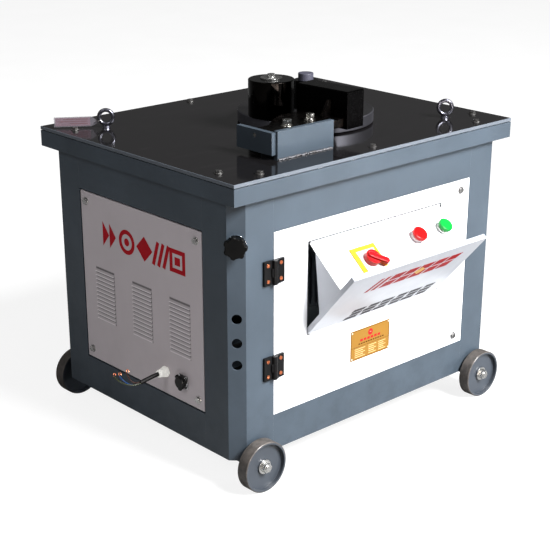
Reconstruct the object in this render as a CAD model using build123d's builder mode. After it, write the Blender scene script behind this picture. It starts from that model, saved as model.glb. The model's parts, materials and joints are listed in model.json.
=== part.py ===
from build123d import *

import os
from math import acos, asin, atan2, cos, degrees, pi, radians, sin, sqrt, tan

# Table-type rebar bending machine on four wheels. Millimetres, +Z up.
# The origin is on the floor, at the centre of the wheelbase and of the cabinet.
# The door and the tilting control box are at the front, which faces -Y.

os.makedirs("parts", exist_ok=True)

# ---------------------------------------------------------------- driving sizes
FIT = 0.05  # radial clearance of every shaft in its hole
SHEET = 2.0  # panels, door and control box
FRAME_SHEET = 3.0  # posts and rails

TABLE_X, TABLE_Y = 475.0, 371.5  # half sizes of the table
TABLE_TOP, TABLE_THICK = 759.0, 8.0
TABLE_LOW = TABLE_TOP - TABLE_THICK
APRON_HEIGHT, APRON_WIDTH, APRON_REBATE = 40.0, 50.0, 2.0
BODY_X, BODY_Y = 457.0, 353.4  # half sizes of the cabinet
BODY_BOTTOM, BODY_TOP = 76.0, 709.0
POST_CHAMFER, POST_FLANGE, POST_LIP = 30.0, 84.0, 22.0
RAIL_TOP_LOW, RAIL_LOW_TOP = 622.0, 167.0
RAIL_FLANGE = 40.0
POST_SEAM_X = BODY_X - POST_CHAMFER - POST_FLANGE
POST_SEAM_Y = BODY_Y - POST_CHAMFER - POST_FLANGE
BOLT_M8, BOLT_M12 = 4.0, 6.0  # shank radii

DISC_X, DISC_Y = 64.0, -31.0  # centre of the work disc
DISC_R, DISC_LOW, DISC_TOP = 174.0, 762.0, 792.0
ROLLER_X, ROLLER_Y, ROLLER_R = -65.0, -42.0, 57.5
ROLLER_LOW, ROLLER_TOP = 793.0, 885.0
PIN_R = 15.0  # bending pin and mandrel tail
MANDREL_TOP, MANDREL_R = 881.0, 19.5
SLEEVE_TOP, SLEEVE_R, SLEEVE_BORE = 864.0, 31.0, 20.0

WHEEL_R, WHEEL_WIDTH, WHEEL_X = 63.5, 32.0, 400.0
WHEEL_GAP = 7.0  # from the end of the axle beam to the wheel
AXLE_R, HUB_R = 8.0, 17.0


def seam_plane(side_x, side_y):
    """Plan outline of the post in one corner, as signed points."""
    thick = FRAME_SHEET
    bend = thick * tan(radians(22.5))
    outline = [
        (POST_SEAM_X, BODY_Y),
        (BODY_X - POST_CHAMFER, BODY_Y),
        (BODY_X, BODY_Y - POST_CHAMFER),
        (BODY_X, POST_SEAM_Y),
        (BODY_X - POST_LIP, POST_SEAM_Y),
        (BODY_X - POST_LIP, POST_SEAM_Y + thick),
        (BODY_X - thick, POST_SEAM_Y + thick),
        (BODY_X - thick, BODY_Y - POST_CHAMFER - bend),
        (BODY_X - POST_CHAMFER - bend, BODY_Y - thick),
        (POST_SEAM_X + thick, BODY_Y - thick),
        (POST_SEAM_X + thick, BODY_Y - POST_LIP),
        (POST_SEAM_X, BODY_Y - POST_LIP),
    ]
    return [(side_x * x, side_y * y) for x, y in outline]


# -------------------------------------------------------------- cabinet frame
PANEL_DEPTH = 12.0  # folded rim of the side and rear panels
PANEL_INSET = 1.0
PANEL_SCREW_Z = (195.0, 593.0)
SIDE_SCREW_Y = 215.0
REAR_SCREW_X = 316.0
DOOR_SCREW_X, DOOR_SCREW_Z = 308.0, (192.0, 594.0)
DOOR_DEPTH = 18.0
TAB_LENGTH, TAB_HEIGHT = 42.0, 28.0
SIDE_TAB_X = BODY_X - PANEL_INSET - PANEL_DEPTH
REAR_TAB_Y = BODY_Y - PANEL_INSET - PANEL_DEPTH
DOOR_TAB_Y = BODY_Y - DOOR_DEPTH - 0.4
DOOR_TAB_LENGTH = 56.0
KNOB_Z = 610.0
POST_HOLE_Z, POST_HOLE_R = (433.0, 374.0, 320.0), 12.0
CHAMFER_MID = (-(BODY_X - POST_CHAMFER / 2), -(BODY_Y - POST_CHAMFER / 2))
KNOB_STUD_R = 6.0


def chamfer_plane(z):
    """Plane on the front-left chamfer at one height, facing outward."""
    return Plane(
        origin=(CHAMFER_MID[0], CHAMFER_MID[1], z), x_dir=(1, -1, 0), z_dir=(-1, -1, 0)
    )


with BuildPart() as corner_posts:
    for side_x in (-1, 1):
        for side_y in (-1, 1):
            with BuildSketch(Plane.XY.offset(BODY_BOTTOM)):
                with BuildLine():
                    Polyline(*seam_plane(side_x, side_y), close=True)
                make_face()
            extrude(amount=BODY_TOP - BODY_BOTTOM)
            for z in PANEL_SCREW_Z:
                tab_y = side_y * (POST_SEAM_Y + FRAME_SHEET - TAB_LENGTH / 2)
                with Locations((side_x * (SIDE_TAB_X - FRAME_SHEET / 2), tab_y, z)):
                    Box(FRAME_SHEET, TAB_LENGTH, TAB_HEIGHT)
                with Locations(
                    Plane(origin=(side_x * SIDE_TAB_X, side_y * SIDE_SCREW_Y, z), z_dir=(side_x, 0, 0))
                ):
                    Hole(BOLT_M8 + FIT)
    for side_x in (-1, 1):
        tab_x = side_x * (POST_SEAM_X + FRAME_SHEET - TAB_LENGTH / 2)
        for z in PANEL_SCREW_Z:
            with Locations((tab_x, REAR_TAB_Y - FRAME_SHEET / 2, z)):
                Box(TAB_LENGTH, FRAME_SHEET, TAB_HEIGHT)
            with Locations(Plane(origin=(side_x * REAR_SCREW_X, REAR_TAB_Y, z), z_dir=(0, 1, 0))):
                Hole(BOLT_M8 + FIT)
    for z in DOOR_SCREW_Z:
        tab_x = POST_SEAM_X + FRAME_SHEET - DOOR_TAB_LENGTH / 2
        with Locations((tab_x, -(DOOR_TAB_Y - FRAME_SHEET / 2), z)):
            Box(DOOR_TAB_LENGTH, FRAME_SHEET, TAB_HEIGHT)
        with Locations(Plane(origin=(DOOR_SCREW_X, -DOOR_TAB_Y, z), z_dir=(0, -1, 0))):
            Hole(BOLT_M8 + 1.0, depth=2 * FRAME_SHEET)
    for z in POST_HOLE_Z:
        with Locations(chamfer_plane(z)):
            Hole(POST_HOLE_R, depth=3 * FRAME_SHEET)
    with Locations(chamfer_plane(KNOB_Z)):
        Hole(KNOB_STUD_R + FIT, depth=3 * FRAME_SHEET)
corner_posts.part.label = "corner_posts"
export_step(corner_posts.part, "parts/corner_posts.step")


def rail_section(outer, low, high, sign):
    """C-section of a rail: a face at `outer` with a flange at its top and bottom."""
    thick = FRAME_SHEET
    points = [
        (outer, low),
        (outer, high),
        (outer - RAIL_FLANGE, high),
        (outer - RAIL_FLANGE, high - thick),
        (outer - thick, high - thick),
        (outer - thick, low + thick),
        (outer - RAIL_FLANGE, low + thick),
        (outer - RAIL_FLANGE, low),
    ]
    return [(sign * across, up) for across, up in points]


with BuildPart() as cabinet_rails:
    for low, high in ((BODY_BOTTOM, RAIL_LOW_TOP), (RAIL_TOP_LOW, BODY_TOP)):
        for sign in (-1, 1):
            with BuildSketch(Plane.YZ):
                with BuildLine():
                    Polyline(*rail_section(BODY_Y, low, high, sign), close=True)
                make_face()
            extrude(amount=POST_SEAM_X, both=True)
            with BuildSketch(Plane.XZ):
                with BuildLine():
                    Polyline(*rail_section(BODY_X, low, high, sign), close=True)
                make_face()
            extrude(amount=POST_SEAM_Y, both=True)
cabinet_rails.part.label = "cabinet_rails"
export_step(cabinet_rails.part, "parts/cabinet_rails.step")

# ------------------------------------------------- axle beams, axles and wheels
BEAM = 25.0
with BuildPart() as axle_beams:
    with Locations(*[(side * WHEEL_X, 0, BODY_BOTTOM - BEAM / 2) for side in (-1, 1)]):
        Box(BEAM, 2 * BODY_Y, BEAM)
axle_beams.part.label = "axle_beams"
export_step(axle_beams.part, "parts/axle_beams.step")

WHEEL_INNER = BODY_Y + WHEEL_GAP
WHEEL_RECESS = 10.0  # from the face of the rim to the web, on both sides
NUT_M16_FLAT, NUT_M16_HEIGHT, WASHER_THICK = 22.0, 11.0, 2.5
HUB_LENGTH = WHEEL_WIDTH - WHEEL_RECESS + 1.5

with BuildPart() as axles:
    for side_y in (-1, 1):
        for side_x in (-1, 1):
            end = Plane(
                origin=(side_x * WHEEL_X, side_y * BODY_Y, WHEEL_R),
                x_dir=(1, 0, 0),
                z_dir=(0, side_y, 0),
            )
            with BuildSketch(end):
                Circle(14)
            extrude(amount=WHEEL_GAP - 0.5)
            with BuildSketch(end.offset(WHEEL_GAP - 0.5)):
                Circle(AXLE_R)
            extrude(amount=HUB_LENGTH + 1.0 + NUT_M16_HEIGHT + WASHER_THICK + 3)
            with BuildSketch(end.offset(WHEEL_GAP + HUB_LENGTH + 0.5)):
                Circle(HUB_R + 1)
            extrude(amount=WASHER_THICK)
            with BuildSketch(end.offset(WHEEL_GAP + HUB_LENGTH + 0.5 + WASHER_THICK)):
                RegularPolygon(NUT_M16_FLAT / 2, 6, major_radius=False)
            extrude(amount=NUT_M16_HEIGHT)
axles.part.label = "axles"
export_step(axles.part, "parts/axles.step")

RIM_THICK, RIM_CHAMFER = 6.0, 1.5
for end_name, side_y in (("front", -1), ("rear", 1)):
    for side_name, side_x in (("left", -1), ("right", 1)):
        face = Plane(
            origin=(side_x * WHEEL_X, side_y * WHEEL_INNER, WHEEL_R),
            x_dir=(1, 0, 0),
            z_dir=(0, side_y, 0),
        )
        with BuildPart() as wheel:
            # one casting: thin rim, recessed web and short hub
            with BuildSketch(face):
                Circle(WHEEL_R)
                Circle(AXLE_R + FIT, mode=Mode.SUBTRACT)
            extrude(amount=WHEEL_WIDTH)
            chamfer(wheel.edges().filter_by(GeomType.CIRCLE).group_by(SortBy.RADIUS)[-1], RIM_CHAMFER)
            with BuildSketch(face):
                Circle(WHEEL_R - RIM_THICK)
                Circle(HUB_R, mode=Mode.SUBTRACT)
            extrude(amount=WHEEL_RECESS, mode=Mode.SUBTRACT)
            with BuildSketch(face.offset(WHEEL_WIDTH - WHEEL_RECESS)):
                Circle(WHEEL_R - RIM_THICK)
                Circle(HUB_R, mode=Mode.SUBTRACT)
            extrude(amount=WHEEL_RECESS, mode=Mode.SUBTRACT)
            with BuildSketch(face.offset(HUB_LENGTH)):
                Circle(HUB_R + 1)
            extrude(amount=WHEEL_WIDTH, mode=Mode.SUBTRACT)
        wheel_name = f"wheel_{end_name}_{side_name}"
        wheel.part.label = wheel_name
        export_step(wheel.part, f"parts/{wheel_name}.step")

# ------------------------------------------------------ side and rear panels
PANEL_LOW, PANEL_HIGH = 171.0, 618.0
PANEL_MID = (PANEL_LOW + PANEL_HIGH) / 2
LOUVRE_WIDTH, LOUVRE_PITCH, LOUVRE_COUNT = 77.0, 10.6, 13
LOUVRE_MID = 356.0  # height of the louvre groups
LOUVRE_DEPTH = 3.0
GLAND_Y, GLAND_Z, GLAND_R = -92.0, 229.5, 10.0
SOCKET_Y, SOCKET_Z, SOCKET_R = -159.0, 224.5, 16.0


def louvred_panel(face, half_width, groups, screws, holes=()):
    """Folded panel on `face` (local z outward) with groups of pressed louvres."""
    across, up, out = face.x_dir, face.y_dir, face.z_dir
    half_height = (PANEL_HIGH - PANEL_LOW) / 2
    with BuildPart() as panel:
        with BuildSketch(face):
            Rectangle(2 * half_width, 2 * half_height)
        extrude(amount=-PANEL_DEPTH)
        with BuildSketch(face.offset(-SHEET)):
            Rectangle(2 * (half_width - SHEET), 2 * (half_height - SHEET))
        extrude(amount=-PANEL_DEPTH, mode=Mode.SUBTRACT)
        for centre in groups:
            # sections are drawn with x outward and y up
            section = Plane(
                origin=face.from_local_coords(Vector(centre, LOUVRE_MID - PANEL_MID, 0)),
                x_dir=out,
                z_dir=-across,
            )
            rises = [
                (step - (LOUVRE_COUNT - 1) / 2) * LOUVRE_PITCH for step in range(LOUVRE_COUNT)
            ]
            with BuildSketch(section):
                for rise in rises:
                    with BuildLine():
                        Polyline(
                            (-0.2, rise + 4.0), (LOUVRE_DEPTH, rise - 2.4), (-0.2, rise - 2.4), close=True
                        )
                    make_face()
            extrude(amount=LOUVRE_WIDTH / 2, both=True)
            with BuildSketch(section):
                for rise in rises:
                    with BuildLine():
                        Polyline(
                            (-SHEET - 0.5, rise + 1.8),
                            (0.0, rise + 1.8),
                            (LOUVRE_DEPTH - 1.2, rise - 2.6),
                            (-SHEET - 0.5, rise - 2.6),
                            close=True,
                        )
                    make_face()
            extrude(amount=LOUVRE_WIDTH / 2 - 1.5, both=True, mode=Mode.SUBTRACT)
        for x, y, radius in [(x, z - PANEL_MID, BOLT_M8 + 0.2) for x, z in screws] + list(holes):
            with BuildSketch(face.offset(1)):
                with Locations((x, y)):
                    Circle(radius)
            extrude(amount=-(SHEET + 2), mode=Mode.SUBTRACT)
    return panel


side_screws = [(y, z) for y in (-SIDE_SCREW_Y, SIDE_SCREW_Y) for z in PANEL_SCREW_Z]
left_face = Plane(origin=(-(BODY_X - PANEL_INSET), 0, PANEL_MID), x_dir=(0, -1, 0), z_dir=(-1, 0, 0))
right_face = Plane(origin=(BODY_X - PANEL_INSET, 0, PANEL_MID), x_dir=(0, 1, 0), z_dir=(1, 0, 0))
rear_face = Plane(origin=(0, BODY_Y - PANEL_INSET, PANEL_MID), x_dir=(-1, 0, 0), z_dir=(0, 1, 0))

side_panel_left = louvred_panel(
    left_face,
    POST_SEAM_Y - 3.4,
    (-146.0, 5.0, 151.0),
    side_screws,
    [(-GLAND_Y, GLAND_Z - PANEL_MID, GLAND_R + FIT), (-SOCKET_Y, SOCKET_Z - PANEL_MID, SOCKET_R + FIT)],
)
side_panel_left.part.label = "side_panel_left"
export_step(side_panel_left.part, "parts/side_panel_left.step")

side_panel_right = louvred_panel(right_face, POST_SEAM_Y - 3.4, (-148.0, 0.0, 148.0), side_screws)
side_panel_right.part.label = "side_panel_right"
export_step(side_panel_right.part, "parts/side_panel_right.step")

rear_screws = [(x, z) for x in (-REAR_SCREW_X, REAR_SCREW_X) for z in PANEL_SCREW_Z]
rear_panel = louvred_panel(rear_face, POST_SEAM_X - 3.0, (-180.0, 0.0, 180.0), rear_screws)
rear_panel.part.label = "rear_panel"
export_step(rear_panel.part, "parts/rear_panel.step")

# --------------------------------------------------------------- door hinges
HINGE_X, HINGE_Y, HINGE_Z = -345.0, -361.0, (293.5, 529.0)
LEAF_NEAR, LEAF_FAR, LEAF_THICK, LEAF_HEIGHT = 7.0, 31.0, 6.0, 58.0
KNUCKLE_R, KNUCKLE_HALF, HINGE_PIN_R = 6.5, 10.0, 3.0
HINGE_SCREW_R, HINGE_SCREW_OUT, HINGE_SCREW_UP = 2.5, 20.0, 19.0


def hinge_leaf(side, knuckles):
    """Nylon leaf on one side of the hinge line; `knuckles` are z spans about each hinge."""
    with BuildPart() as leaf:
        for z in HINGE_Z:
            mid_x = HINGE_X + side * (LEAF_NEAR + LEAF_FAR) / 2
            with Locations((mid_x, -BODY_Y - LEAF_THICK / 2, z)):
                Box(LEAF_FAR - LEAF_NEAR, LEAF_THICK, LEAF_HEIGHT)
            for low, high in knuckles:
                with BuildSketch(Plane.XY.offset(z + low)):
                    with Locations((HINGE_X, HINGE_Y)):
                        Circle(KNUCKLE_R)
                    with Locations((HINGE_X + side * 5.0, HINGE_Y + 0.8)):
                        Rectangle(10.0, 5.6)
                extrude(amount=high - low)
            with BuildSketch(Plane.XY.offset(z - LEAF_HEIGHT)):
                with Locations((HINGE_X, HINGE_Y)):
                    Circle(HINGE_PIN_R + FIT)
            extrude(amount=2 * LEAF_HEIGHT, mode=Mode.SUBTRACT)
            for up in (-HINGE_SCREW_UP, HINGE_SCREW_UP):
                screw = Plane(
                    origin=(HINGE_X + side * HINGE_SCREW_OUT, -BODY_Y - LEAF_THICK, z + up),
                    z_dir=(0, -1, 0),
                )
                with Locations(screw):
                    CounterSinkHole(HINGE_SCREW_R + 0.1, 5.0)
    return leaf


half_leaf = LEAF_HEIGHT / 2
frame_leaf = hinge_leaf(-1, [(-KNUCKLE_HALF, KNUCKLE_HALF)])
door_leaf = hinge_leaf(1, [(-half_leaf, -KNUCKLE_HALF - 0.3), (KNUCKLE_HALF + 0.3, half_leaf)])
with BuildPart() as hinge_rods:
    for z in HINGE_Z:
        with BuildSketch(Plane.XY.offset(z - half_leaf)):
            with Locations((HINGE_X, HINGE_Y)):
                Circle(HINGE_PIN_R)
        extrude(amount=LEAF_HEIGHT)
hinge_frame_leaves = Compound(children=[frame_leaf.part, hinge_rods.part])
hinge_frame_leaves.label = "hinge_frame_leaves"
export_step(hinge_frame_leaves, "parts/hinge_frame_leaves.step")
door_leaf.part.label = "hinge_door_leaves"
export_step(door_leaf.part, "parts/hinge_door_leaves.step")


def hinge_screw_set(side):
    """Countersunk screws of one side of both hinges."""
    with BuildPart() as screws:
        for z in HINGE_Z:
            for up in (-HINGE_SCREW_UP, HINGE_SCREW_UP):
                head = Plane(
                    origin=(HINGE_X + side * HINGE_SCREW_OUT, -BODY_Y - LEAF_THICK, z + up),
                    z_dir=(0, -1, 0),
                )
                with BuildSketch(head.offset(-0.4)):
                    Circle(4.4)
                extrude(amount=1.4)
                with BuildSketch(head.offset(-LEAF_THICK + 0.02)):
                    Circle(HINGE_SCREW_R)
                extrude(amount=LEAF_THICK)
                with BuildSketch(head.offset(0.2)):
                    Rectangle(6.0, 1.2)
                    Rectangle(1.2, 6.0)
                extrude(amount=1.0, mode=Mode.SUBTRACT)
    return screws


PANEL_SCREW_HEAD = 9.5


def panel_screw(face, x, y):
    """Button-head screw with a washer, from `face` down into its tab."""
    with BuildPart() as screw:
        with BuildSketch(face):
            with Locations((x, y)):
                Circle(PANEL_SCREW_HEAD)
        extrude(amount=1.4)
        with BuildSketch(face.offset(1.4)):
            with Locations((x, y)):
                RegularPolygon(6.5, 6, major_radius=False)
        extrude(amount=5.3)
        with BuildSketch(face):
            with Locations((x, y)):
                Circle(BOLT_M8)
        extrude(amount=-(PANEL_DEPTH + FRAME_SHEET + 2))
    return screw.part


screw_parts = [hinge_screw_set(-1).part]
for face, spots in ((left_face, side_screws), (right_face, side_screws), (rear_face, rear_screws)):
    for x, z in spots:
        screw_parts.append(panel_screw(face, x, z - PANEL_MID))
panel_screws = Compound(children=screw_parts)
panel_screws.label = "panel_screws"
export_step(panel_screws, "parts/panel_screws.step")

# ------------------------------------------------------ apron and table top
APRON_LOW = TABLE_LOW - APRON_REBATE - APRON_HEIGHT
APRON_WALL = 4.0
TABLE_SCREWS = [(sx * 372.0, sy * 340.0) for sx in (-1, 1) for sy in (-1, 1)]
TABLE_SCREWS += [(sx * 436.0, sy * 275.0) for sx in (-1, 1) for sy in (-1, 1)]
TABLE_SCREWS += [(-13.0, -341.0), (-13.0, 341.0)]


def table_ring(inset, width):
    """Rectangular ring `width` wide, `inset` inside the edge of the table."""
    with BuildSketch(mode=Mode.PRIVATE) as ring:
        Rectangle(2 * (TABLE_X - inset), 2 * (TABLE_Y - inset))
        Rectangle(2 * (TABLE_X - inset - width), 2 * (TABLE_Y - inset - width), mode=Mode.SUBTRACT)
    return ring.sketch


# channel frame, open towards the inside, with a rebate under the table
with BuildPart() as apron:
    with BuildSketch(Plane.XY.offset(APRON_LOW)):
        add(table_ring(0, APRON_WIDTH))
    extrude(amount=APRON_HEIGHT)
    with BuildSketch(Plane.XY.offset(TABLE_LOW - APRON_REBATE)):
        add(table_ring(APRON_WALL, APRON_WIDTH - APRON_WALL))
    extrude(amount=APRON_REBATE)
    with BuildSketch(Plane.XY.offset(APRON_LOW + APRON_WALL)):
        add(table_ring(APRON_WALL, APRON_WIDTH))
    extrude(amount=APRON_HEIGHT - 2 * APRON_WALL, mode=Mode.SUBTRACT)
    with BuildSketch(Plane.XY.offset(TABLE_LOW + 1)):
        with Locations(*TABLE_SCREWS):
            Circle(BOLT_M8 + FIT)
    extrude(amount=-12, mode=Mode.SUBTRACT)
apron.part.label = "apron"
export_step(apron.part, "parts/apron.step")

EYE_SPOTS = ((350.0, -254.0), (-362.0, 245.5))
STOP_BOLTS = ((-194.0, -236.0), (-111.0, -226.0))
HUB_HOLE_R = 42.0
SWITCH_SPOT = (DISC_X + 140.0, DISC_Y)
COVER_BOLT_CIRCLE, COVER_BOLTS = 92.0, 6
COVER_HEAD_R, COVER_HEAD_HEIGHT = 7.0, 5.0  # socket heads, flush with the table
EYE_SHANK_R = 5.0
with BuildPart() as table_top:
    with BuildSketch(Plane.XY.offset(TABLE_LOW)):
        Rectangle(2 * TABLE_X, 2 * TABLE_Y)
        with Locations((DISC_X, DISC_Y)):
            Circle(HUB_HOLE_R, mode=Mode.SUBTRACT)
            with PolarLocations(COVER_BOLT_CIRCLE, COVER_BOLTS, start_angle=30):
                Circle(BOLT_M8 + FIT, mode=Mode.SUBTRACT)
        with Locations(*TABLE_SCREWS):
            Circle(BOLT_M8 + FIT, mode=Mode.SUBTRACT)
        with Locations(*EYE_SPOTS):
            Circle(EYE_SHANK_R + FIT, mode=Mode.SUBTRACT)
        with Locations(*STOP_BOLTS):
            Circle(BOLT_M12 + FIT, mode=Mode.SUBTRACT)
        with Locations(SWITCH_SPOT):
            Circle(5.0, mode=Mode.SUBTRACT)
    extrude(amount=TABLE_THICK)
    chamfer(table_top.edges().filter_by(GeomType.LINE).group_by(Axis.Z)[-1], 0.8)
    with BuildSketch(Plane.XY.offset(TABLE_TOP)):
        with Locations((DISC_X, DISC_Y)):
            with PolarLocations(COVER_BOLT_CIRCLE, COVER_BOLTS, start_angle=30):
                Circle(COVER_HEAD_R + FIT)
    extrude(amount=-COVER_HEAD_HEIGHT, mode=Mode.SUBTRACT)
table_top.part.label = "table_top"
export_step(table_top.part, "parts/table_top.step")

with BuildPart() as table_screws:
    for x, y in TABLE_SCREWS:
        with BuildSketch(Plane.XY.offset(TABLE_TOP)):
            with Locations((x, y)):
                Circle(10.0)
        extrude(amount=1.6)
        with BuildSketch(Plane.XY.offset(TABLE_TOP + 1.6)):
            with Locations((x, y)):
                RegularPolygon(6.5, 6, major_radius=False)
        extrude(amount=5.4)
        with BuildSketch(Plane.XY.offset(TABLE_TOP)):
            with Locations((x, y)):
                Circle(BOLT_M8)
        extrude(amount=-17)
    # gearbox bolts, with their heads sunk in the table under the disc
    with BuildSketch(Plane.XY.offset(TABLE_TOP)):
        with Locations((DISC_X, DISC_Y)):
            with PolarLocations(COVER_BOLT_CIRCLE, COVER_BOLTS, start_angle=30):
                Circle(COVER_HEAD_R)
    extrude(amount=-COVER_HEAD_HEIGHT)
    with BuildSketch(Plane.XY.offset(TABLE_TOP)):
        with Locations((DISC_X, DISC_Y)):
            with PolarLocations(COVER_BOLT_CIRCLE, COVER_BOLTS, start_angle=30):
                Circle(BOLT_M8)
    extrude(amount=-22)
table_screws.part.label = "table_screws"
export_step(table_screws.part, "parts/table_screws.step")

# ------------------------------------------------------------------ eyebolts
EYE_RING_R, EYE_WIRE_R, EYE_RISE = 17.5, 5.0, 27.0
EYE_FACING = (0.674, 0.739, 0.0)  # both eyes face the same way, about 42 degrees off square
with BuildPart() as eyebolts:
    for x, y in EYE_SPOTS:
        with BuildSketch(Plane.XY.offset(TABLE_TOP)):
            with Locations((x, y)):
                Circle(11.0)
        extrude(amount=5.5, taper=14)
        centre = Vector(x, y, TABLE_TOP + EYE_RISE)
        spoke = Vector(EYE_FACING[1], -EYE_FACING[0], 0)
        with BuildSketch(
            Plane(origin=centre - Vector(0, 0, EYE_RING_R), x_dir=(0, 0, 1), z_dir=spoke)
        ):
            Circle(EYE_WIRE_R)
        revolve(axis=Axis(centre, EYE_FACING), revolution_arc=360)
        with BuildSketch(Plane.XY.offset(TABLE_TOP - 24)):
            with Locations((x, y)):
                Circle(EYE_SHANK_R)
        extrude(amount=26)
        with BuildSketch(Plane.XY.offset(TABLE_LOW - 8.5)):
            with Locations((x, y)):
                RegularPolygon(8.5, 6, major_radius=False)
        extrude(amount=8.5)
eyebolts.part.label = "eyebolts"
export_step(eyebolts.part, "parts/eyebolts.step")

# Hang tag in its sleeve, tied to the left eyebolt by a wire ring.
TAG_RING_R, TAG_WIRE_R, TAG_LENGTH, TAG_LOW, TAG_HIGH = 8.5, 0.9, 104.0, -11.0, 14.0
eye_centre = Vector(*EYE_SPOTS[1], TABLE_TOP + EYE_RISE)
eye_spoke = Vector(EYE_FACING[1], -EYE_FACING[0], 0)
tie_angle = radians(205)
tie_out = eye_spoke * cos(tie_angle) + Vector(0, 0, 1) * sin(tie_angle)
tie_centre = eye_centre + tie_out * (EYE_RING_R + 2.5)
tag_hole = tie_centre + tie_out * TAG_RING_R
tie_axis = tie_out.cross(Vector(*EYE_FACING))
with BuildPart() as tag_tie:
    with BuildSketch(Plane(origin=tag_hole, x_dir=tie_out, z_dir=EYE_FACING)):
        Circle(TAG_WIRE_R)
    revolve(axis=Axis(tie_centre, tie_axis), revolution_arc=360)
tag_plane = Plane(origin=tag_hole, x_dir=(-0.80, 0.60, -0.012), z_dir=(0.60, 0.80, 0))
with BuildPart() as tag_card:
    with BuildSketch(tag_plane.offset(-0.7)):
        with BuildLine():
            Polyline(
                (-3.6, -3.6),
                (-3.6, 3.6),
                (12.0, TAG_HIGH),
                (TAG_LENGTH, TAG_HIGH),
                (TAG_LENGTH, TAG_LOW),
                (12.0, TAG_LOW),
                close=True,
            )
        make_face()
        Circle(2.2, mode=Mode.SUBTRACT)
    extrude(amount=1.4)
hang_tag = Compound(children=[tag_tie.part, tag_card.part])
hang_tag.label = "hang_tag"
export_step(hang_tag, "parts/hang_tag.step")

# ------------------------------------- cable gland, socket and the loose cable
SHEATH_R, CORE_R = 5.25, 1.6
gland_face = Plane(origin=(-(BODY_X - PANEL_INSET), GLAND_Y, GLAND_Z), x_dir=(0, -1, 0), z_dir=(-1, 0, 0))
GLAND_OUT, GLAND_BORE, GLAND_BORE_DEEP = 26.0, SHEATH_R + 0.4, 15.5
with BuildPart() as cable_gland:
    with BuildSketch(gland_face):
        RegularPolygon(12.0, 6, major_radius=False)
    extrude(amount=6)
    with BuildSketch(gland_face.offset(6)):
        Circle(12.0)
    extrude(amount=4)
    with BuildSketch(gland_face.offset(10)):
        Circle(11.0)
    extrude(amount=GLAND_OUT - 10, taper=8)
    with BuildSketch(gland_face):
        Circle(GLAND_R)
    extrude(amount=-16)
    with BuildSketch(gland_face.offset(-SHEET - 6)):
        RegularPolygon(13.0, 6, major_radius=False)
    extrude(amount=6 - 0.02)
    with BuildSketch(gland_face.offset(GLAND_OUT - GLAND_BORE_DEEP)):
        Circle(GLAND_BORE)
    extrude(amount=GLAND_BORE_DEEP + 1, mode=Mode.SUBTRACT)
cable_gland.part.label = "cable_gland"
export_step(cable_gland.part, "parts/cable_gland.step")


def cord_tube(points, radius, label):
    """Tube along straight runs joined by arcs as large as the runs allow."""
    points = [Vector(*point) for point in points]
    runs = [end - start for start, end in zip(points, points[1:])]
    bends = []
    for before, after in zip(runs, runs[1:]):
        turn = radians(before.get_angle(after))
        bends.append(0.45 * min(before.length, after.length) / tan(turn / 2))
    print(label, "bend radii", [round(bend) for bend in bends])
    with BuildPart() as tube:
        with BuildLine():
            route = FilletPolyline(*points, radius=bends)
        with BuildSketch(Plane(origin=points[0], z_dir=runs[0])):
            Circle(radius)
        sweep()
    length = route.length
    filled = tube.part.volume / (pi * radius**2 * length)
    print(label, "length", round(length, 1), "volume check", round(filled, 4))
    return tube


# the sheath starts at the bottom of the bore in the gland
start_x = -(BODY_X - PANEL_INSET) - GLAND_OUT + GLAND_BORE_DEEP
sheath_points = [
    (start_x, GLAND_Y, GLAND_Z),
    (start_x - 17, GLAND_Y, GLAND_Z),
    (start_x - 33.9, GLAND_Y + 1.0, GLAND_Z - 2.1),
    (start_x - 48.5, GLAND_Y + 4.0, GLAND_Z - 6.2),
    (start_x - 62.3, GLAND_Y + 8.0, GLAND_Z - 10.7),
]
cable_sheath = cord_tube(sheath_points, SHEATH_R, "cable_sheath")
cable_sheath.part.label = "cable_sheath"
export_step(cable_sheath.part, "parts/cable_sheath.step")
sheath_end = Vector(*sheath_points[-1])
sheath_way = (sheath_end - Vector(*sheath_points[-2])).normalized()
sheath_side = Vector(0, 0, 1).cross(sheath_way).normalized()
sheath_up = sheath_way.cross(sheath_side)
# per core: its start across and up in the end of the sheath, then points from that end
CORES = {
    "core_brown": (
        (-1.8, 1.7),
        ((-12.5, 9.5, -0.8), (-15.5, 19, 3.2), (-15, 28.5, 9), (-13, 37.5, 15.5)),
    ),
    "core_blue": (
        (-1.5, -2.0),
        ((-15, 6, -4.6), (-23, 14, -3.2), (-28, 24, 1), (-30, 34.5, 6), (-29.5, 44.5, 11)),
    ),
    "core_earth": (
        (2.3, -0.2),
        (
            (-16.5, 2.5, -2.6),
            (-27, 8, -1.4),
            (-35.5, 17, 1),
            (-40.5, 28, 4),
            (-42.5, 39.5, 7.5),
            (-42, 49, 11.5),
        ),
    ),
}
CORE_STRAIGHT = 7.0
for core_name, (seat, steps) in CORES.items():
    start = sheath_end + sheath_way * 0.02 + sheath_side * seat[0] + sheath_up * seat[1]
    core_points = [start, start + sheath_way * CORE_STRAIGHT]
    core_points += [sheath_end + Vector(*step) for step in steps]
    core = cord_tube(core_points, CORE_R, core_name)
    core.part.label = core_name
    export_step(core.part, f"parts/{core_name}.step")

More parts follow.
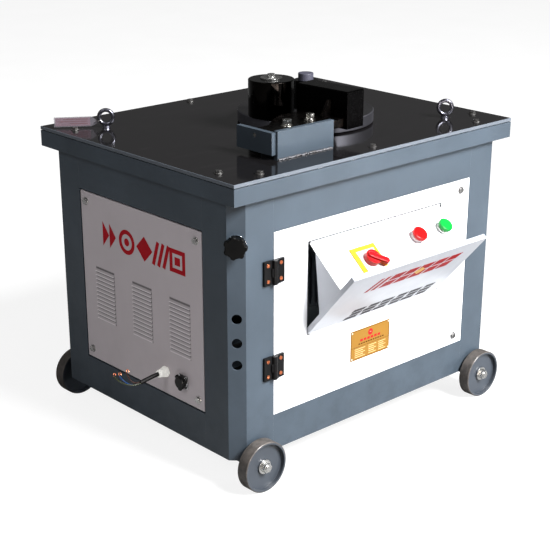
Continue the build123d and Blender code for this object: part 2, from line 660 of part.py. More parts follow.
socket_face = Plane(origin=(-(BODY_X - PANEL_INSET), SOCKET_Y, SOCKET_Z), x_dir=(0, -1, 0), z_dir=(-1, 0, 0))
with BuildPart() as socket_flange:
    with BuildSketch(socket_face):
        RectangleRounded(34, 34, 4)
    extrude(amount=2.0)
    with BuildSketch(socket_face.offset(2.0)):
        Circle(15.0)
    extrude(amount=4.0)
    with BuildSketch(socket_face.offset(6.0)):
        Circle(11.0)
    extrude(amount=4.0)
    with BuildSketch(socket_face):
        Circle(SOCKET_R)
    extrude(amount=-14)
    with BuildSketch(socket_face.offset(-SHEET - 4)):
        Circle(20.0)
    extrude(amount=4 - 0.02)
socket_flange.part.label = "socket_flange"
export_step(socket_flange.part, "parts/socket_flange.step")

with BuildPart() as socket_cap:
    with BuildSketch(socket_face.offset(6.3)):
        Circle(17.0)
        with PolarLocations(17.0, 3, start_angle=20):
            Rectangle(8.0, 8.0)
    extrude(amount=6.5)
    with BuildSketch(socket_face.offset(12.8)):
        Circle(15.5)
    extrude(amount=3.5, taper=20)
    with BuildSketch(socket_face.offset(6.3)):
        Circle(11.0 + 0.2)
    extrude(amount=4.0, mode=Mode.SUBTRACT)
socket_cap.part.label = "socket_cap"
export_step(socket_cap.part, "parts/socket_cap.step")

# --------------------------------------------------- clamp knob on the chamfer
KNOB_R, KNOB_LOBES = 27.0, 7
with BuildPart() as star_knob:
    with BuildSketch(chamfer_plane(KNOB_Z).offset(0.3)):
        Circle(23.0)
    extrude(amount=3.0)
    with BuildSketch(chamfer_plane(KNOB_Z).offset(3.3)):
        Circle(11.0)
    extrude(amount=12.0)
    with BuildSketch(chamfer_plane(KNOB_Z).offset(15.3)):
        Circle(KNOB_R - 3.5)
        with PolarLocations(KNOB_R - 6.0, KNOB_LOBES):
            Circle(6.5)
    extrude(amount=14.0)
    fillet(star_knob.faces().sort_by(Axis(chamfer_plane(0).origin, (-1, -1, 0)))[-1].edges(), 2.5)
    with BuildSketch(chamfer_plane(KNOB_Z).offset(0.5)):
        Circle(KNOB_STUD_R)
    extrude(amount=-22)
star_knob.part.label = "star_knob"
export_step(star_knob.part, "parts/star_knob.step")

# ------------------------------------------------------------- fixed stop box
STOP_LEFT, STOP_RIGHT, STOP_FRONT, STOP_PLATE = -266.3, -87.0, -283.0, 12.7
STOP_TOP, SIDE_PLATE_LOW, SIDE_PLATE_TOP = 826.0, 771.0, 823.0
SIDE_PLATE_FRONT, SIDE_PLATE_REAR = -277.0, -156.0
SLIDE_LOW, SLIDE_TOP, SLIDE_TRAVEL = 799.0, 819.0, 8.0
SCREW_Y, SCREW_Z, SCREW_R = -218.5, 809.0, 5.0
BASE_BLOCK = (-225.0, -90.0, -262.0, -180.0)  # low x, high x, low y, high y
with BuildPart() as stop_box:
    with Locations(((STOP_LEFT + STOP_RIGHT) / 2, STOP_FRONT + STOP_PLATE / 2, (TABLE_TOP + STOP_TOP) / 2)):
        Box(STOP_RIGHT - STOP_LEFT, STOP_PLATE, STOP_TOP - TABLE_TOP)
    with Locations(
        (
            STOP_LEFT - STOP_PLATE / 2,
            (SIDE_PLATE_FRONT + SIDE_PLATE_REAR) / 2,
            (SIDE_PLATE_LOW + SIDE_PLATE_TOP) / 2,
        )
    ):
        Box(STOP_PLATE, SIDE_PLATE_REAR - SIDE_PLATE_FRONT, SIDE_PLATE_TOP - SIDE_PLATE_LOW)
    with Locations(Plane(origin=(STOP_LEFT - STOP_PLATE, SCREW_Y, SCREW_Z), z_dir=(-1, 0, 0))):
        Hole(SCREW_R + FIT, depth=STOP_PLATE + 1)
stop_base_z = SLIDE_LOW - 0.1
with BuildPart() as stop_base:
    with Locations(
        (
            (BASE_BLOCK[0] + BASE_BLOCK[1]) / 2,
            (BASE_BLOCK[2] + BASE_BLOCK[3]) / 2,
            (TABLE_TOP + stop_base_z) / 2,
        )
    ):
        Box(BASE_BLOCK[1] - BASE_BLOCK[0], BASE_BLOCK[3] - BASE_BLOCK[2], stop_base_z - TABLE_TOP)
    with Locations(*[(x, y, stop_base_z) for x, y in STOP_BOLTS]):
        Hole(BOLT_M12 + FIT)
stop_box_set = Compound(children=[stop_box.part, stop_base.part])
stop_box_set.label = "stop_box"
export_step(stop_box_set, "parts/stop_box.step")

BLOCK_X, BLOCK_Y, BLOCK_WIDTH, BLOCK_LENGTH, BLOCK_TURN = -40.0, -280.5, 60.0, 161.0, 4.0
BLOCK_LOW, BLOCK_TOP = 794.0, 884.0
block_along = (-sin(radians(BLOCK_TURN)), cos(radians(BLOCK_TURN)))


def block_face_x(y):
    """x of the block's left face at one y."""
    return BLOCK_X + (y - BLOCK_Y) * block_along[0] / block_along[1]


SLIDE_FRONT, SLIDE_REAR = -269.6, -140.0
slide_outline = [
    (-257.0, SLIDE_FRONT),
    (block_face_x(SLIDE_FRONT) - 0.02, SLIDE_FRONT),
    (block_face_x(SLIDE_REAR) - 0.02, SLIDE_REAR),
    (-124.0, SLIDE_REAR),
    (-167.0, -160.0),
    (-215.0, -196.0),
    (-257.0, -200.0),
]
GUSSET_Y, GUSSET_THICK, GUSSET_FOOT, GUSSET_RISE = -226.0, 8.0, 28.0, 40.0
with BuildPart() as stop_slide:
    with BuildSketch(Plane.XY.offset(SLIDE_LOW)):
        with BuildLine():
            Polyline(*slide_outline, close=True)
        make_face()
        with Locations(*STOP_BOLTS):
            SlotCenterToCenter(2 * (SLIDE_TRAVEL + 1), 2 * BOLT_M12 + 1.0, mode=Mode.SUBTRACT)
    extrude(amount=SLIDE_TOP - SLIDE_LOW)
    gusset_x = block_face_x(GUSSET_Y + GUSSET_THICK / 2) - 0.4
    with BuildSketch(Plane.XZ.offset(-(GUSSET_Y - GUSSET_THICK / 2))):
        with BuildLine():
            Polyline(
                (gusset_x, SLIDE_TOP - 1),
                (gusset_x, SLIDE_TOP + GUSSET_RISE),
                (gusset_x - 6, SLIDE_TOP + GUSSET_RISE),
                (gusset_x - GUSSET_FOOT, SLIDE_TOP + 4),
                (gusset_x - GUSSET_FOOT, SLIDE_TOP - 1),
                close=True,
            )
        make_face()
    extrude(amount=-GUSSET_THICK)
stop_slide.part.label = "stop_slide"
export_step(stop_slide.part, "parts/stop_slide.step")

block_plane = Plane(
    origin=(BLOCK_X, BLOCK_Y, BLOCK_LOW),
    x_dir=(block_along[1], -block_along[0], 0),
    z_dir=(0, 0, 1),
)
with BuildPart() as stop_block:
    with BuildSketch(block_plane):
        Rectangle(BLOCK_WIDTH, BLOCK_LENGTH, align=(Align.MIN, Align.MIN))
    extrude(amount=BLOCK_TOP - BLOCK_LOW)
    chamfer(stop_block.faces().sort_by(Axis.Z)[-1].edges(), 2.5)
stop_block.part.label = "stop_block"
export_step(stop_block.part, "parts/stop_block.step")

with BuildPart() as stop_bolts:
    for x, y in STOP_BOLTS:
        base = Plane.XY.offset(SLIDE_TOP + 0.05)
        for rise, radius, thick in ((0.0, 14.0, 3.0), (3.0, 11.0, 3.0)):
            with BuildSketch(base.offset(rise)):
                with Locations((x, y)):
                    Circle(radius)
            extrude(amount=thick)
        with BuildSketch(base.offset(6.0)):
            with Locations((x, y)):
                RegularPolygon(9.5, 6, major_radius=False)
        extrude(amount=11.0)
        with BuildSketch(base):
            with Locations((x, y)):
                Circle(BOLT_M12)
        extrude(amount=-(SLIDE_TOP - TABLE_LOW + 14))
        with BuildSketch(Plane.XY.offset(TABLE_LOW - 10)):
            with Locations((x, y)):
                RegularPolygon(9.5, 6, major_radius=False)
        extrude(amount=10 - 0.02)
    with BuildSketch(Plane(origin=(STOP_LEFT - STOP_PLATE + 1, SCREW_Y, SCREW_Z), z_dir=(1, 0, 0))):
        Circle(SCREW_R)
    extrude(amount=STOP_PLATE - 0.1)
stop_bolts.part.label = "stop_bolts"
export_step(stop_bolts.part, "parts/stop_bolts.step")

# ------------------------------------------------- work disc, mandrel, roller
HUB_R_TOP, SPINDLE_R = 30.0, 35.0
SPARE_ANGLE, LUG_RISE = 95.0, 2.0
PIN_CIRCLE = sqrt((ROLLER_X - DISC_X) ** 2 + (ROLLER_Y - DISC_Y) ** 2)
spare_pin = (
    DISC_X + PIN_CIRCLE * cos(radians(SPARE_ANGLE)),
    DISC_Y + PIN_CIRCLE * sin(radians(SPARE_ANGLE)),
)
with BuildPart() as work_disc:
    with BuildSketch(Plane.XY.offset(DISC_LOW)):
        with Locations((DISC_X, DISC_Y)):
            Circle(DISC_R)
            Circle(HUB_R_TOP + FIT, mode=Mode.SUBTRACT)
        with Locations((ROLLER_X, ROLLER_Y), spare_pin):
            Circle(PIN_R + FIT, mode=Mode.SUBTRACT)
    extrude(amount=DISC_TOP - DISC_LOW)
    rims = work_disc.edges().filter_by(GeomType.CIRCLE).group_by(SortBy.RADIUS)[-1]
    chamfer(rims, 2.0)
    # two cam lugs under the disc work the limit switch
    with BuildSketch(Plane.XY.offset(DISC_LOW - LUG_RISE)):
        with Locations((DISC_X, DISC_Y)):
            with PolarLocations(140, 2, start_angle=60, angular_range=110):
                Rectangle(16, 30)
    extrude(amount=LUG_RISE)
work_disc.part.label = "work_disc"
export_step(work_disc.part, "parts/work_disc.step")

with BuildPart() as mandrel:
    for low, high, radius in (
        (DISC_TOP - 57, DISC_TOP, PIN_R),
        (DISC_TOP, SLEEVE_TOP, SLEEVE_BORE),
        (SLEEVE_TOP, MANDREL_TOP, MANDREL_R),
    ):
        with BuildSketch(Plane.XY.offset(low)):
            with Locations((DISC_X, DISC_Y)):
                Circle(radius)
        extrude(amount=high - low)
    chamfer(mandrel.edges().group_by(Axis.Z)[-1], 1.0)
mandrel.part.label = "mandrel"
export_step(mandrel.part, "parts/mandrel.step")

with BuildPart() as mandrel_sleeve:
    with BuildSketch(Plane.XY.offset(DISC_TOP)):
        with Locations((DISC_X, DISC_Y)):
            Circle(SLEEVE_R)
            Circle(SLEEVE_BORE + FIT, mode=Mode.SUBTRACT)
    extrude(amount=SLEEVE_TOP - DISC_TOP)
    chamfer(mandrel_sleeve.edges().group_by(Axis.Z)[-1].sort_by(SortBy.RADIUS)[-1], 1.5)
mandrel_sleeve.part.label = "mandrel_sleeve"
export_step(mandrel_sleeve.part, "parts/mandrel_sleeve.step")

ROLLER_BORE = PIN_R - 1.0
with BuildPart() as roller:
    with BuildSketch(Plane.XY.offset(ROLLER_LOW)):
        with Locations((ROLLER_X, ROLLER_Y)):
            Circle(ROLLER_R)
            Circle(ROLLER_BORE + 0.08, mode=Mode.SUBTRACT)
    extrude(amount=ROLLER_TOP - ROLLER_LOW)
    outer_rims = roller.edges().filter_by(GeomType.CIRCLE).group_by(SortBy.RADIUS)[-1]
    chamfer(outer_rims, 1.5)
roller.part.label = "roller"
export_step(roller.part, "parts/roller.step")

with BuildPart() as roller_pin:
    for low, high, radius in (
        (DISC_LOW + 2, DISC_TOP, PIN_R),
        (DISC_TOP, ROLLER_TOP + 0.4, ROLLER_BORE),
        (ROLLER_TOP + 0.4, ROLLER_TOP + 3.4, 27.0),
    ):
        with BuildSketch(Plane.XY.offset(low)):
            with Locations((ROLLER_X, ROLLER_Y)):
                Circle(radius)
        extrude(amount=high - low)
    with BuildSketch(Plane.XY.offset(ROLLER_TOP + 3.4)):
        with Locations((ROLLER_X, ROLLER_Y)):
            Circle(10.0)
    extrude(amount=1.6)
    with BuildSketch(Plane.XY.offset(ROLLER_TOP + 5.0)):
        with Locations((ROLLER_X, ROLLER_Y)):
            RegularPolygon(8.5, 6, major_radius=False)
    extrude(amount=7.0)
roller_pin.part.label = "roller_pin"
export_step(roller_pin.part, "parts/roller_pin.step")

# ------------------------------------------------------------------ gear train
# bull gear on the spindle, pinion and gear on the countershaft, input pinion
BULL_TEETH, PINION_TEETH, BULL_MODULE = 75, 15, 4.0
GEAR_TEETH, INPUT_TEETH, GEAR_MODULE = 64, 16, 3.0
BACKLASH = 0.5
BULL_ANGLE, GEAR_ANGLE = 165.0, 110.0  # directions of the two shaft offsets
COUNTER_X = DISC_X + BULL_MODULE * (BULL_TEETH + PINION_TEETH) / 2 * cos(radians(BULL_ANGLE))
COUNTER_Y = DISC_Y + BULL_MODULE * (BULL_TEETH + PINION_TEETH) / 2 * sin(radians(BULL_ANGLE))
INPUT_X = COUNTER_X + GEAR_MODULE * (GEAR_TEETH + INPUT_TEETH) / 2 * cos(radians(GEAR_ANGLE))
INPUT_Y = COUNTER_Y + GEAR_MODULE * (GEAR_TEETH + INPUT_TEETH) / 2 * sin(radians(GEAR_ANGLE))
CASE_LOW, CASE_TOP, COVER_TOP, CASE_WALL = 470.0, 636.0, 650.0, 8.0
COUNTER_R, INPUT_R = 17.5, 14.0


def gear_outline(teeth, module, first_tooth):
    """Involute tooth outline, with a tooth centred on the angle `first_tooth` in degrees."""
    pressure = radians(20)
    pitch_r = module * teeth / 2
    base_r = pitch_r * cos(pressure)
    root_r = pitch_r - 1.25 * module
    tip_r = pitch_r + 0.95 * module
    half_pitch = (pi * module / 2 - BACKLASH) / 2 / pitch_r
    involute_pitch = tan(pressure) - pressure
    low_r = max(base_r, root_r + 0.05 * module)
    flank = []
    for step in range(4):
        radius = low_r + (tip_r - low_r) * step / 3
        roll = acos(min(1.0, base_r / radius))
        flank.append((radius, half_pitch + involute_pitch - (tan(roll) - roll)))
    points = []
    for tooth in range(teeth):
        middle = radians(first_tooth) + 2 * pi * tooth / teeth
        rising = [(root_r, -flank[0][1])] + [(radius, -angle) for radius, angle in flank]
        falling = [(radius, -angle) for radius, angle in reversed(rising)]
        for radius, angle in rising + falling:
            points.append((radius * cos(middle + angle), radius * sin(middle + angle)))
    return points


def gear(centre, low, high, outline, bore):
    """Spur gear between two heights about `centre`."""
    with BuildPart() as wheel_part:
        with BuildSketch(Plane(origin=(centre[0], centre[1], low))):
            with BuildLine():
                Polyline(*outline, close=True)
            make_face()
            if bore:
                Circle(bore, mode=Mode.SUBTRACT)
        extrude(amount=high - low)
    return wheel_part


spindle_seat_r = 34.0
bull_gear = gear(
    (DISC_X, DISC_Y), 560.0, 604.0, gear_outline(BULL_TEETH, BULL_MODULE, BULL_ANGLE), spindle_seat_r + FIT
)
with BuildPart() as bull_web:
    add(bull_gear.part)
    for low in (559.0, 592.0):
        with BuildSketch(Plane.XY.offset(low)):
            with Locations((DISC_X, DISC_Y)):
                Circle(126)
                Circle(52, mode=Mode.SUBTRACT)
        extrude(amount=13, mode=Mode.SUBTRACT)
    with BuildSketch(Plane.XY.offset(560)):
        with Locations((DISC_X, DISC_Y)):
            with PolarLocations(88, 6):
                Circle(22)
    extrude(amount=50, mode=Mode.SUBTRACT)
bull_web.part.label = "bull_gear"
export_step(bull_web.part, "parts/bull_gear.step")

with BuildPart() as spindle:
    for low, high, radius in (
        (478.0, 548.0, 27.5),
        (548.0, 559.5, 40.0),
        (559.5, 620.0, spindle_seat_r),
        (620.0, DISC_LOW, SPINDLE_R),
        (DISC_LOW, DISC_TOP, HUB_R_TOP),
    ):
        with BuildSketch(Plane.XY.offset(low)):
            with Locations((DISC_X, DISC_Y)):
                Circle(radius)
        extrude(amount=high - low)
    with BuildSketch(Plane.XY.offset(DISC_TOP - 60)):
        with Locations((DISC_X, DISC_Y)):
            Circle(PIN_R + FIT)
    extrude(amount=60, mode=Mode.SUBTRACT)
spindle.part.label = "spindle"
export_step(spindle.part, "parts/spindle.step")

counter_gear = gear(
    (COUNTER_X, COUNTER_Y), 504.0, 530.0, gear_outline(GEAR_TEETH, GEAR_MODULE, GEAR_ANGLE), COUNTER_R + FIT
)
counter_pinion = gear(
    (COUNTER_X, COUNTER_Y),
    556.0,
    608.0,
    gear_outline(PINION_TEETH, BULL_MODULE, BULL_ANGLE + 180 + 180 / PINION_TEETH),
    None,
)
with BuildPart() as counter_shaft:
    add(counter_pinion.part)
    with BuildSketch(Plane.XY.offset(480)):
        with Locations((COUNTER_X, COUNTER_Y)):
            Circle(COUNTER_R)
    extrude(amount=152)
countershaft = Compound(children=[counter_shaft.part, counter_gear.part])
countershaft.label = "countershaft"
export_step(countershaft, "parts/countershaft.step")

input_pinion = gear(
    (INPUT_X, INPUT_Y),
    502.0,
    532.0,
    gear_outline(INPUT_TEETH, GEAR_MODULE, GEAR_ANGLE + 180 + 180 / INPUT_TEETH),
    None,
)
PULLEY_LOW, PULLEY_HIGH, BELT_Z = 404.0, 446.0, (415.0, 435.0)
with BuildPart() as input_shaft:
    add(input_pinion.part)
    with BuildSketch(Plane.XY.offset(PULLEY_LOW - 4)):
        with Locations((INPUT_X, INPUT_Y)):
            Circle(INPUT_R)
    extrude(amount=632 - PULLEY_LOW + 4)
input_shaft.part.label = "input_shaft"
export_step(input_shaft.part, "parts/input_shaft.step")

# ------------------------------------------------------------------ belt drive
BIG_PULLEY_R, SMALL_PULLEY_R = 112.5, 45.0
MOTOR_X, MOTOR_Y = 215.0, 155.0
BELT_WIDE, BELT_NARROW, BELT_DEEP = 13.0, 8.0, 9.0


def pulley(centre, radius, bore):
    """Two-groove V pulley about a vertical shaft."""
    outline = [(bore, PULLEY_LOW), (radius, PULLEY_LOW)]
    for z in BELT_Z:
        outline += [
            (radius, z - BELT_WIDE / 2 - 0.6),
            (radius - BELT_DEEP - 2, z - BELT_NARROW / 2 - 0.1),
            (radius - BELT_DEEP - 2, z + BELT_NARROW / 2 + 0.1),
            (radius, z + BELT_WIDE / 2 + 0.6),
        ]
    outline += [(radius, PULLEY_HIGH), (bore, PULLEY_HIGH)]
    with BuildPart() as wheel_part:
        with BuildSketch(Plane(origin=(centre[0], centre[1], 0), x_dir=(1, 0, 0), z_dir=(0, -1, 0))):
            with BuildLine():
                Polyline(*outline, close=True)
            make_face()
        revolve(axis=Axis((centre[0], centre[1], 0), (0, 0, 1)))
    return wheel_part


input_pulley = pulley((INPUT_X, INPUT_Y), BIG_PULLEY_R, INPUT_R + FIT)
input_pulley.part.label = "input_pulley"
export_step(input_pulley.part, "parts/input_pulley.step")

MOTOR_SHAFT_R = 14.0
motor_pulley_wheel = pulley((MOTOR_X, MOTOR_Y), SMALL_PULLEY_R, MOTOR_SHAFT_R - 1)
with BuildPart() as motor_pulley:
    add(motor_pulley_wheel.part)
    with BuildSketch(Plane.XY.offset(345)):
        with Locations((MOTOR_X, MOTOR_Y)):
            Circle(MOTOR_SHAFT_R)
    extrude(amount=PULLEY_HIGH + 4 - 345)
motor_pulley.part.label = "motor_pulley"
export_step(motor_pulley.part, "parts/motor_pulley.step")

pulley_span = sqrt((MOTOR_X - INPUT_X) ** 2 + (MOTOR_Y - INPUT_Y) ** 2)
pulley_bearing = atan2(MOTOR_Y - INPUT_Y, MOTOR_X - INPUT_X)
wrap = asin((BIG_PULLEY_R - SMALL_PULLEY_R) / pulley_span)


def belt_point(centre, radius, angle):
    """Point on the belt's outer line."""
    return (centre[0] + radius * cos(angle), centre[1] + radius * sin(angle))


with BuildPart() as drive_belts:
    up_angle = pulley_bearing + pi / 2 - wrap
    down_angle = pulley_bearing - pi / 2 + wrap
    outer_r, inner_r = BIG_PULLEY_R - 0.3, SMALL_PULLEY_R - 0.3
    big, small = (INPUT_X, INPUT_Y), (MOTOR_X, MOTOR_Y)
    for z in BELT_Z:
        with BuildLine(Plane.XY.offset(z)) as belt_line:
            Line(belt_point(big, outer_r, down_angle), belt_point(small, inner_r, down_angle))
            ThreePointArc(
                belt_point(small, inner_r, down_angle),
                belt_point(small, inner_r, pulley_bearing),
                belt_point(small, inner_r, up_angle),
            )
            Line(belt_point(small, inner_r, up_angle), belt_point(big, outer_r, up_angle))
            ThreePointArc(
                belt_point(big, outer_r, up_angle),
                belt_point(big, outer_r, pulley_bearing + pi),
                belt_point(big, outer_r, down_angle),
            )
        start = belt_point(big, outer_r, down_angle)
        outward = Vector(cos(down_angle), sin(down_angle), 0)
        along = Vector(-sin(down_angle), cos(down_angle), 0)
        with BuildSketch(Plane(origin=(start[0], start[1], z), x_dir=outward, z_dir=along)):
            with BuildLine():
                Polyline(
                    (0, -BELT_WIDE / 2),
                    (0, BELT_WIDE / 2),
                    (-BELT_DEEP, BELT_NARROW / 2),
                    (-BELT_DEEP, -BELT_NARROW / 2),
                    close=True,
                )
            make_face()
        sweep(path=belt_line.wires()[0], transition=Transition.RIGHT)
drive_belts.part.label = "drive_belts"
export_step(drive_belts.part, "parts/drive_belts.step")

# ------------------------------------------------------------------ gearbox
BEARINGS = (
    # x, y, low z, height, inner radius, outer radius
    (DISC_X, DISC_Y, 488.0, 18.0, 27.5, 45.0),
    (DISC_X, DISC_Y, 652.0, 22.0, SPINDLE_R, 55.0),
    (DISC_X, DISC_Y, 716.0, 22.0, SPINDLE_R, 55.0),
    (COUNTER_X, COUNTER_Y, 482.0, 14.0, COUNTER_R, 31.0),
    (COUNTER_X, COUNTER_Y, 616.0, 14.0, COUNTER_R, 31.0),
    (INPUT_X, INPUT_Y, 482.0, 14.0, INPUT_R, 26.0),
    (INPUT_X, INPUT_Y, 616.0, 14.0, INPUT_R, 26.0),
)


def case_shape(extra):
    """Outline round the three shafts, `extra` outside the gears."""
    with BuildSketch(mode=Mode.PRIVATE) as shape:
        with Locations((DISC_X, DISC_Y)):
            Circle(160 + extra)
        with Locations((COUNTER_X, COUNTER_Y)):
            Circle(104 + extra)
        with Locations((INPUT_X, INPUT_Y)):
            Circle(36 + extra)
        make_hull()
    return shape.sketch


with BuildPart() as gearbox_case:
    with BuildSketch(Plane.XY.offset(CASE_LOW)):
        add(case_shape(CASE_WALL))
    extrude(amount=CASE_TOP - CASE_LOW)
    with BuildSketch(Plane.XY.offset(CASE_LOW + CASE_WALL)):
        add(case_shape(0))
    extrude(amount=CASE_TOP, mode=Mode.SUBTRACT)
    for x, y, low, height, inner, outer in BEARINGS:
        if low < CASE_LOW + 30:
            with BuildSketch(Plane.XY.offset(CASE_LOW + 2)):
                with Locations((x, y)):
                    Circle(outer + 7)
            extrude(amount=low + height - CASE_LOW - 4)
            with BuildSketch(Plane.XY.offset(low)):
                with Locations((x, y)):
                    Circle(outer + FIT)
            extrude(amount=height + 20, mode=Mode.SUBTRACT)
            with BuildSketch(Plane.XY.offset(CASE_LOW - 1)):
                with Locations((x, y)):
                    Circle(inner + 1)
            extrude(amount=low - CASE_LOW + 2, mode=Mode.SUBTRACT)
gearbox_case.part.label = "gearbox_case"
export_step(gearbox_case.part, "parts/gearbox_case.step")

with BuildPart() as gearbox_cover:
    with BuildSketch(Plane.XY.offset(CASE_TOP)):
        add(case_shape(CASE_WALL))
    extrude(amount=COVER_TOP - CASE_TOP)
    with BuildSketch(Plane.XY.offset(COVER_TOP)):
        with Locations((DISC_X, DISC_Y)):
            Circle(66)
    extrude(amount=TABLE_LOW - COVER_TOP)
    with BuildSketch(Plane.XY.offset(TABLE_LOW - 16)):
        with Locations((DISC_X, DISC_Y)):
            Circle(112)
    extrude(amount=16)
    for x, y, low, height, inner, outer in BEARINGS:
        if CASE_LOW + 30 < low < CASE_TOP:
            with BuildSketch(Plane.XY.offset(low)):
                with Locations((x, y)):
                    Circle(outer + 7)
            extrude(amount=CASE_TOP - low)
            with BuildSketch(Plane.XY.offset(low - 1)):
                with Locations((x, y)):
                    Circle(outer + FIT)
            extrude(amount=height + 3, mode=Mode.SUBTRACT)
    with BuildSketch(Plane.XY.offset(CASE_TOP - 1)):
        with Locations((DISC_X, DISC_Y)):
            Circle(SPINDLE_R + 3)
    extrude(amount=200, mode=Mode.SUBTRACT)
    for low in (652.0, 716.0):
        with BuildSketch(Plane.XY.offset(low)):
            with Locations((DISC_X, DISC_Y)):
                Circle(55 + FIT)
        extrude(amount=22, mode=Mode.SUBTRACT)
    with BuildSketch(Plane.XY.offset(TABLE_LOW)):
        with Locations((DISC_X, DISC_Y)):
            with PolarLocations(COVER_BOLT_CIRCLE, COVER_BOLTS, start_angle=30):
                Circle(BOLT_M8 + FIT)
    extrude(amount=-18, mode=Mode.SUBTRACT)
gearbox_cover.part.label = "gearbox_cover"
export_step(gearbox_cover.part, "parts/gearbox_cover.step")

with BuildPart() as bearings:
    for x, y, low, height, inner, outer in BEARINGS:
        with BuildSketch(Plane.XY.offset(low)):
            with Locations((x, y)):
                Circle(outer)
                Circle(inner + FIT, mode=Mode.SUBTRACT)
        extrude(amount=height)
bearings.part.label = "bearings"
export_step(bearings.part, "parts/bearings.step")

# ------------------------------------------ base frame, motor and electrics
CHANNEL_LOW = BODY_BOTTOM + FRAME_SHEET
CHANNEL_HEIGHT, CHANNEL_WIDTH, CHANNEL_WALL = 40.0, 40.0, 4.0
CHANNEL_Y = (-40.0, 90.0, 215.0)
CHANNEL_TOP = CHANNEL_LOW + CHANNEL_HEIGHT
BRACKET_LOW, BRACKET_THICK = 372.0, 12.0
with BuildPart() as base_frame:
    for y in CHANNEL_Y:
        with BuildSketch(Plane.YZ):
            with Locations((y, (CHANNEL_LOW + CHANNEL_TOP) / 2)):
                Rectangle(CHANNEL_WIDTH, CHANNEL_HEIGHT)
            with Locations((y, (CHANNEL_LOW + CHANNEL_TOP - CHANNEL_WALL) / 2)):
                Rectangle(
                    CHANNEL_WIDTH - 2 * CHANNEL_WALL, CHANNEL_HEIGHT - CHANNEL_WALL, mode=Mode.SUBTRACT
                )
        extrude(amount=BODY_X - FRAME_SHEET - 0.1, both=True)
    for x in (MOTOR_X - 115, MOTOR_X + 115):
        for y in CHANNEL_Y[1:]:
            with Locations((x, y, (CHANNEL_TOP + BRACKET_LOW) / 2)):
                Box(30, 30, BRACKET_LOW - CHANNEL_TOP)
    with BuildSketch(Plane.XY.offset(BRACKET_LOW)):
        with Locations((MOTOR_X, MOTOR_Y)):
            Rectangle(264, 172)
            Circle(25, mode=Mode.SUBTRACT)
    extrude(amount=BRACKET_THICK)
base_frame.part.label = "base_frame"
export_step(base_frame.part, "parts/base_frame.step")

MOTOR_R, MOTOR_FINS = 78.0, 28
with BuildPart() as motor_body:
    with BuildSketch(Plane.XY.offset(180)):
        with Locations((MOTOR_X, MOTOR_Y)):
            Circle(MOTOR_R)
    extrude(amount=180)
    with BuildSketch(Plane.XY.offset(190)):
        with Locations((MOTOR_X, MOTOR_Y)):
            with PolarLocations(MOTOR_R + 3, MOTOR_FINS):
                Rectangle(14, 3)
    extrude(amount=150)
    with BuildSketch(Plane.XY.offset(360)):
        with Locations((MOTOR_X, MOTOR_Y)):
            Circle(84)
    extrude(amount=BRACKET_LOW - 360)
    with BuildSketch(Plane.XY.offset(340)):
        with Locations((MOTOR_X, MOTOR_Y)):
            Circle(MOTOR_SHAFT_R + 1)
    extrude(amount=60, mode=Mode.SUBTRACT)
with BuildPart() as fan_cover:
    with BuildSketch(Plane.XY.offset(124)):
        with Locations((MOTOR_X, MOTOR_Y)):
            Circle(82)
    extrude(amount=56 - 0.02)
    with BuildSketch(Plane.XY.offset(127)):
        with Locations((MOTOR_X, MOTOR_Y)):
            Circle(79)
    extrude(amount=60, mode=Mode.SUBTRACT)
    with BuildSketch(Plane.XY.offset(123)):
        with Locations((MOTOR_X, MOTOR_Y)):
            for ring in (25, 45, 65):
                with PolarLocations(ring, 12):
                    Circle(3.5)
    extrude(amount=6, mode=Mode.SUBTRACT)
with BuildPart() as terminal_box:
    with Locations((MOTOR_X + 108, MOTOR_Y, 280)):
        Box(42, 70, 76)
    with BuildSketch(Plane.XY.offset(242)):
        with Locations((MOTOR_X, MOTOR_Y)):
            Circle(MOTOR_R + 10.3)
    extrude(amount=76, mode=Mode.SUBTRACT)
motor = Compound(children=[motor_body.part, fan_cover.part, terminal_box.part])
motor.label = "motor"
export_step(motor, "parts/motor.step")

CABINET_AT, CABINET_SIZE = (352.0, -40.0), (110.0, 180.0, 280.0)
with BuildPart() as cabinet_shell:
    with Locations((*CABINET_AT, CHANNEL_TOP + CABINET_SIZE[2] / 2)):
        Box(*CABINET_SIZE)
        with Locations((-3, 0, 0)):
            Box(*[size - 6 * (axis > 0) for axis, size in enumerate(CABINET_SIZE)], mode=Mode.SUBTRACT)
cover_x = CABINET_AT[0] - CABINET_SIZE[0] / 2 - 1.52
with BuildPart() as cabinet_cover:
    with Locations((cover_x, CABINET_AT[1], CHANNEL_TOP + CABINET_SIZE[2] / 2)):
        Box(3, CABINET_SIZE[1] - 4, CABINET_SIZE[2] - 4)
electrical_box = Compound(children=[cabinet_shell.part, cabinet_cover.part])
electrical_box.label = "electrical_box"
export_step(electrical_box, "parts/electrical_box.step")

with BuildPart() as limit_switch:
    with BuildSketch(Plane.XY.offset(TABLE_LOW - 44)):
        with Locations(SWITCH_SPOT):
            Rectangle(34, 22)
    extrude(amount=44)
    with BuildSketch(Plane.XY.offset(TABLE_LOW)):
        with Locations(SWITCH_SPOT):
            Circle(4.0)
    extrude(amount=TABLE_THICK + 0.8)
limit_switch.part.label = "limit_switch"
export_step(limit_switch.part, "parts/limit_switch.step")

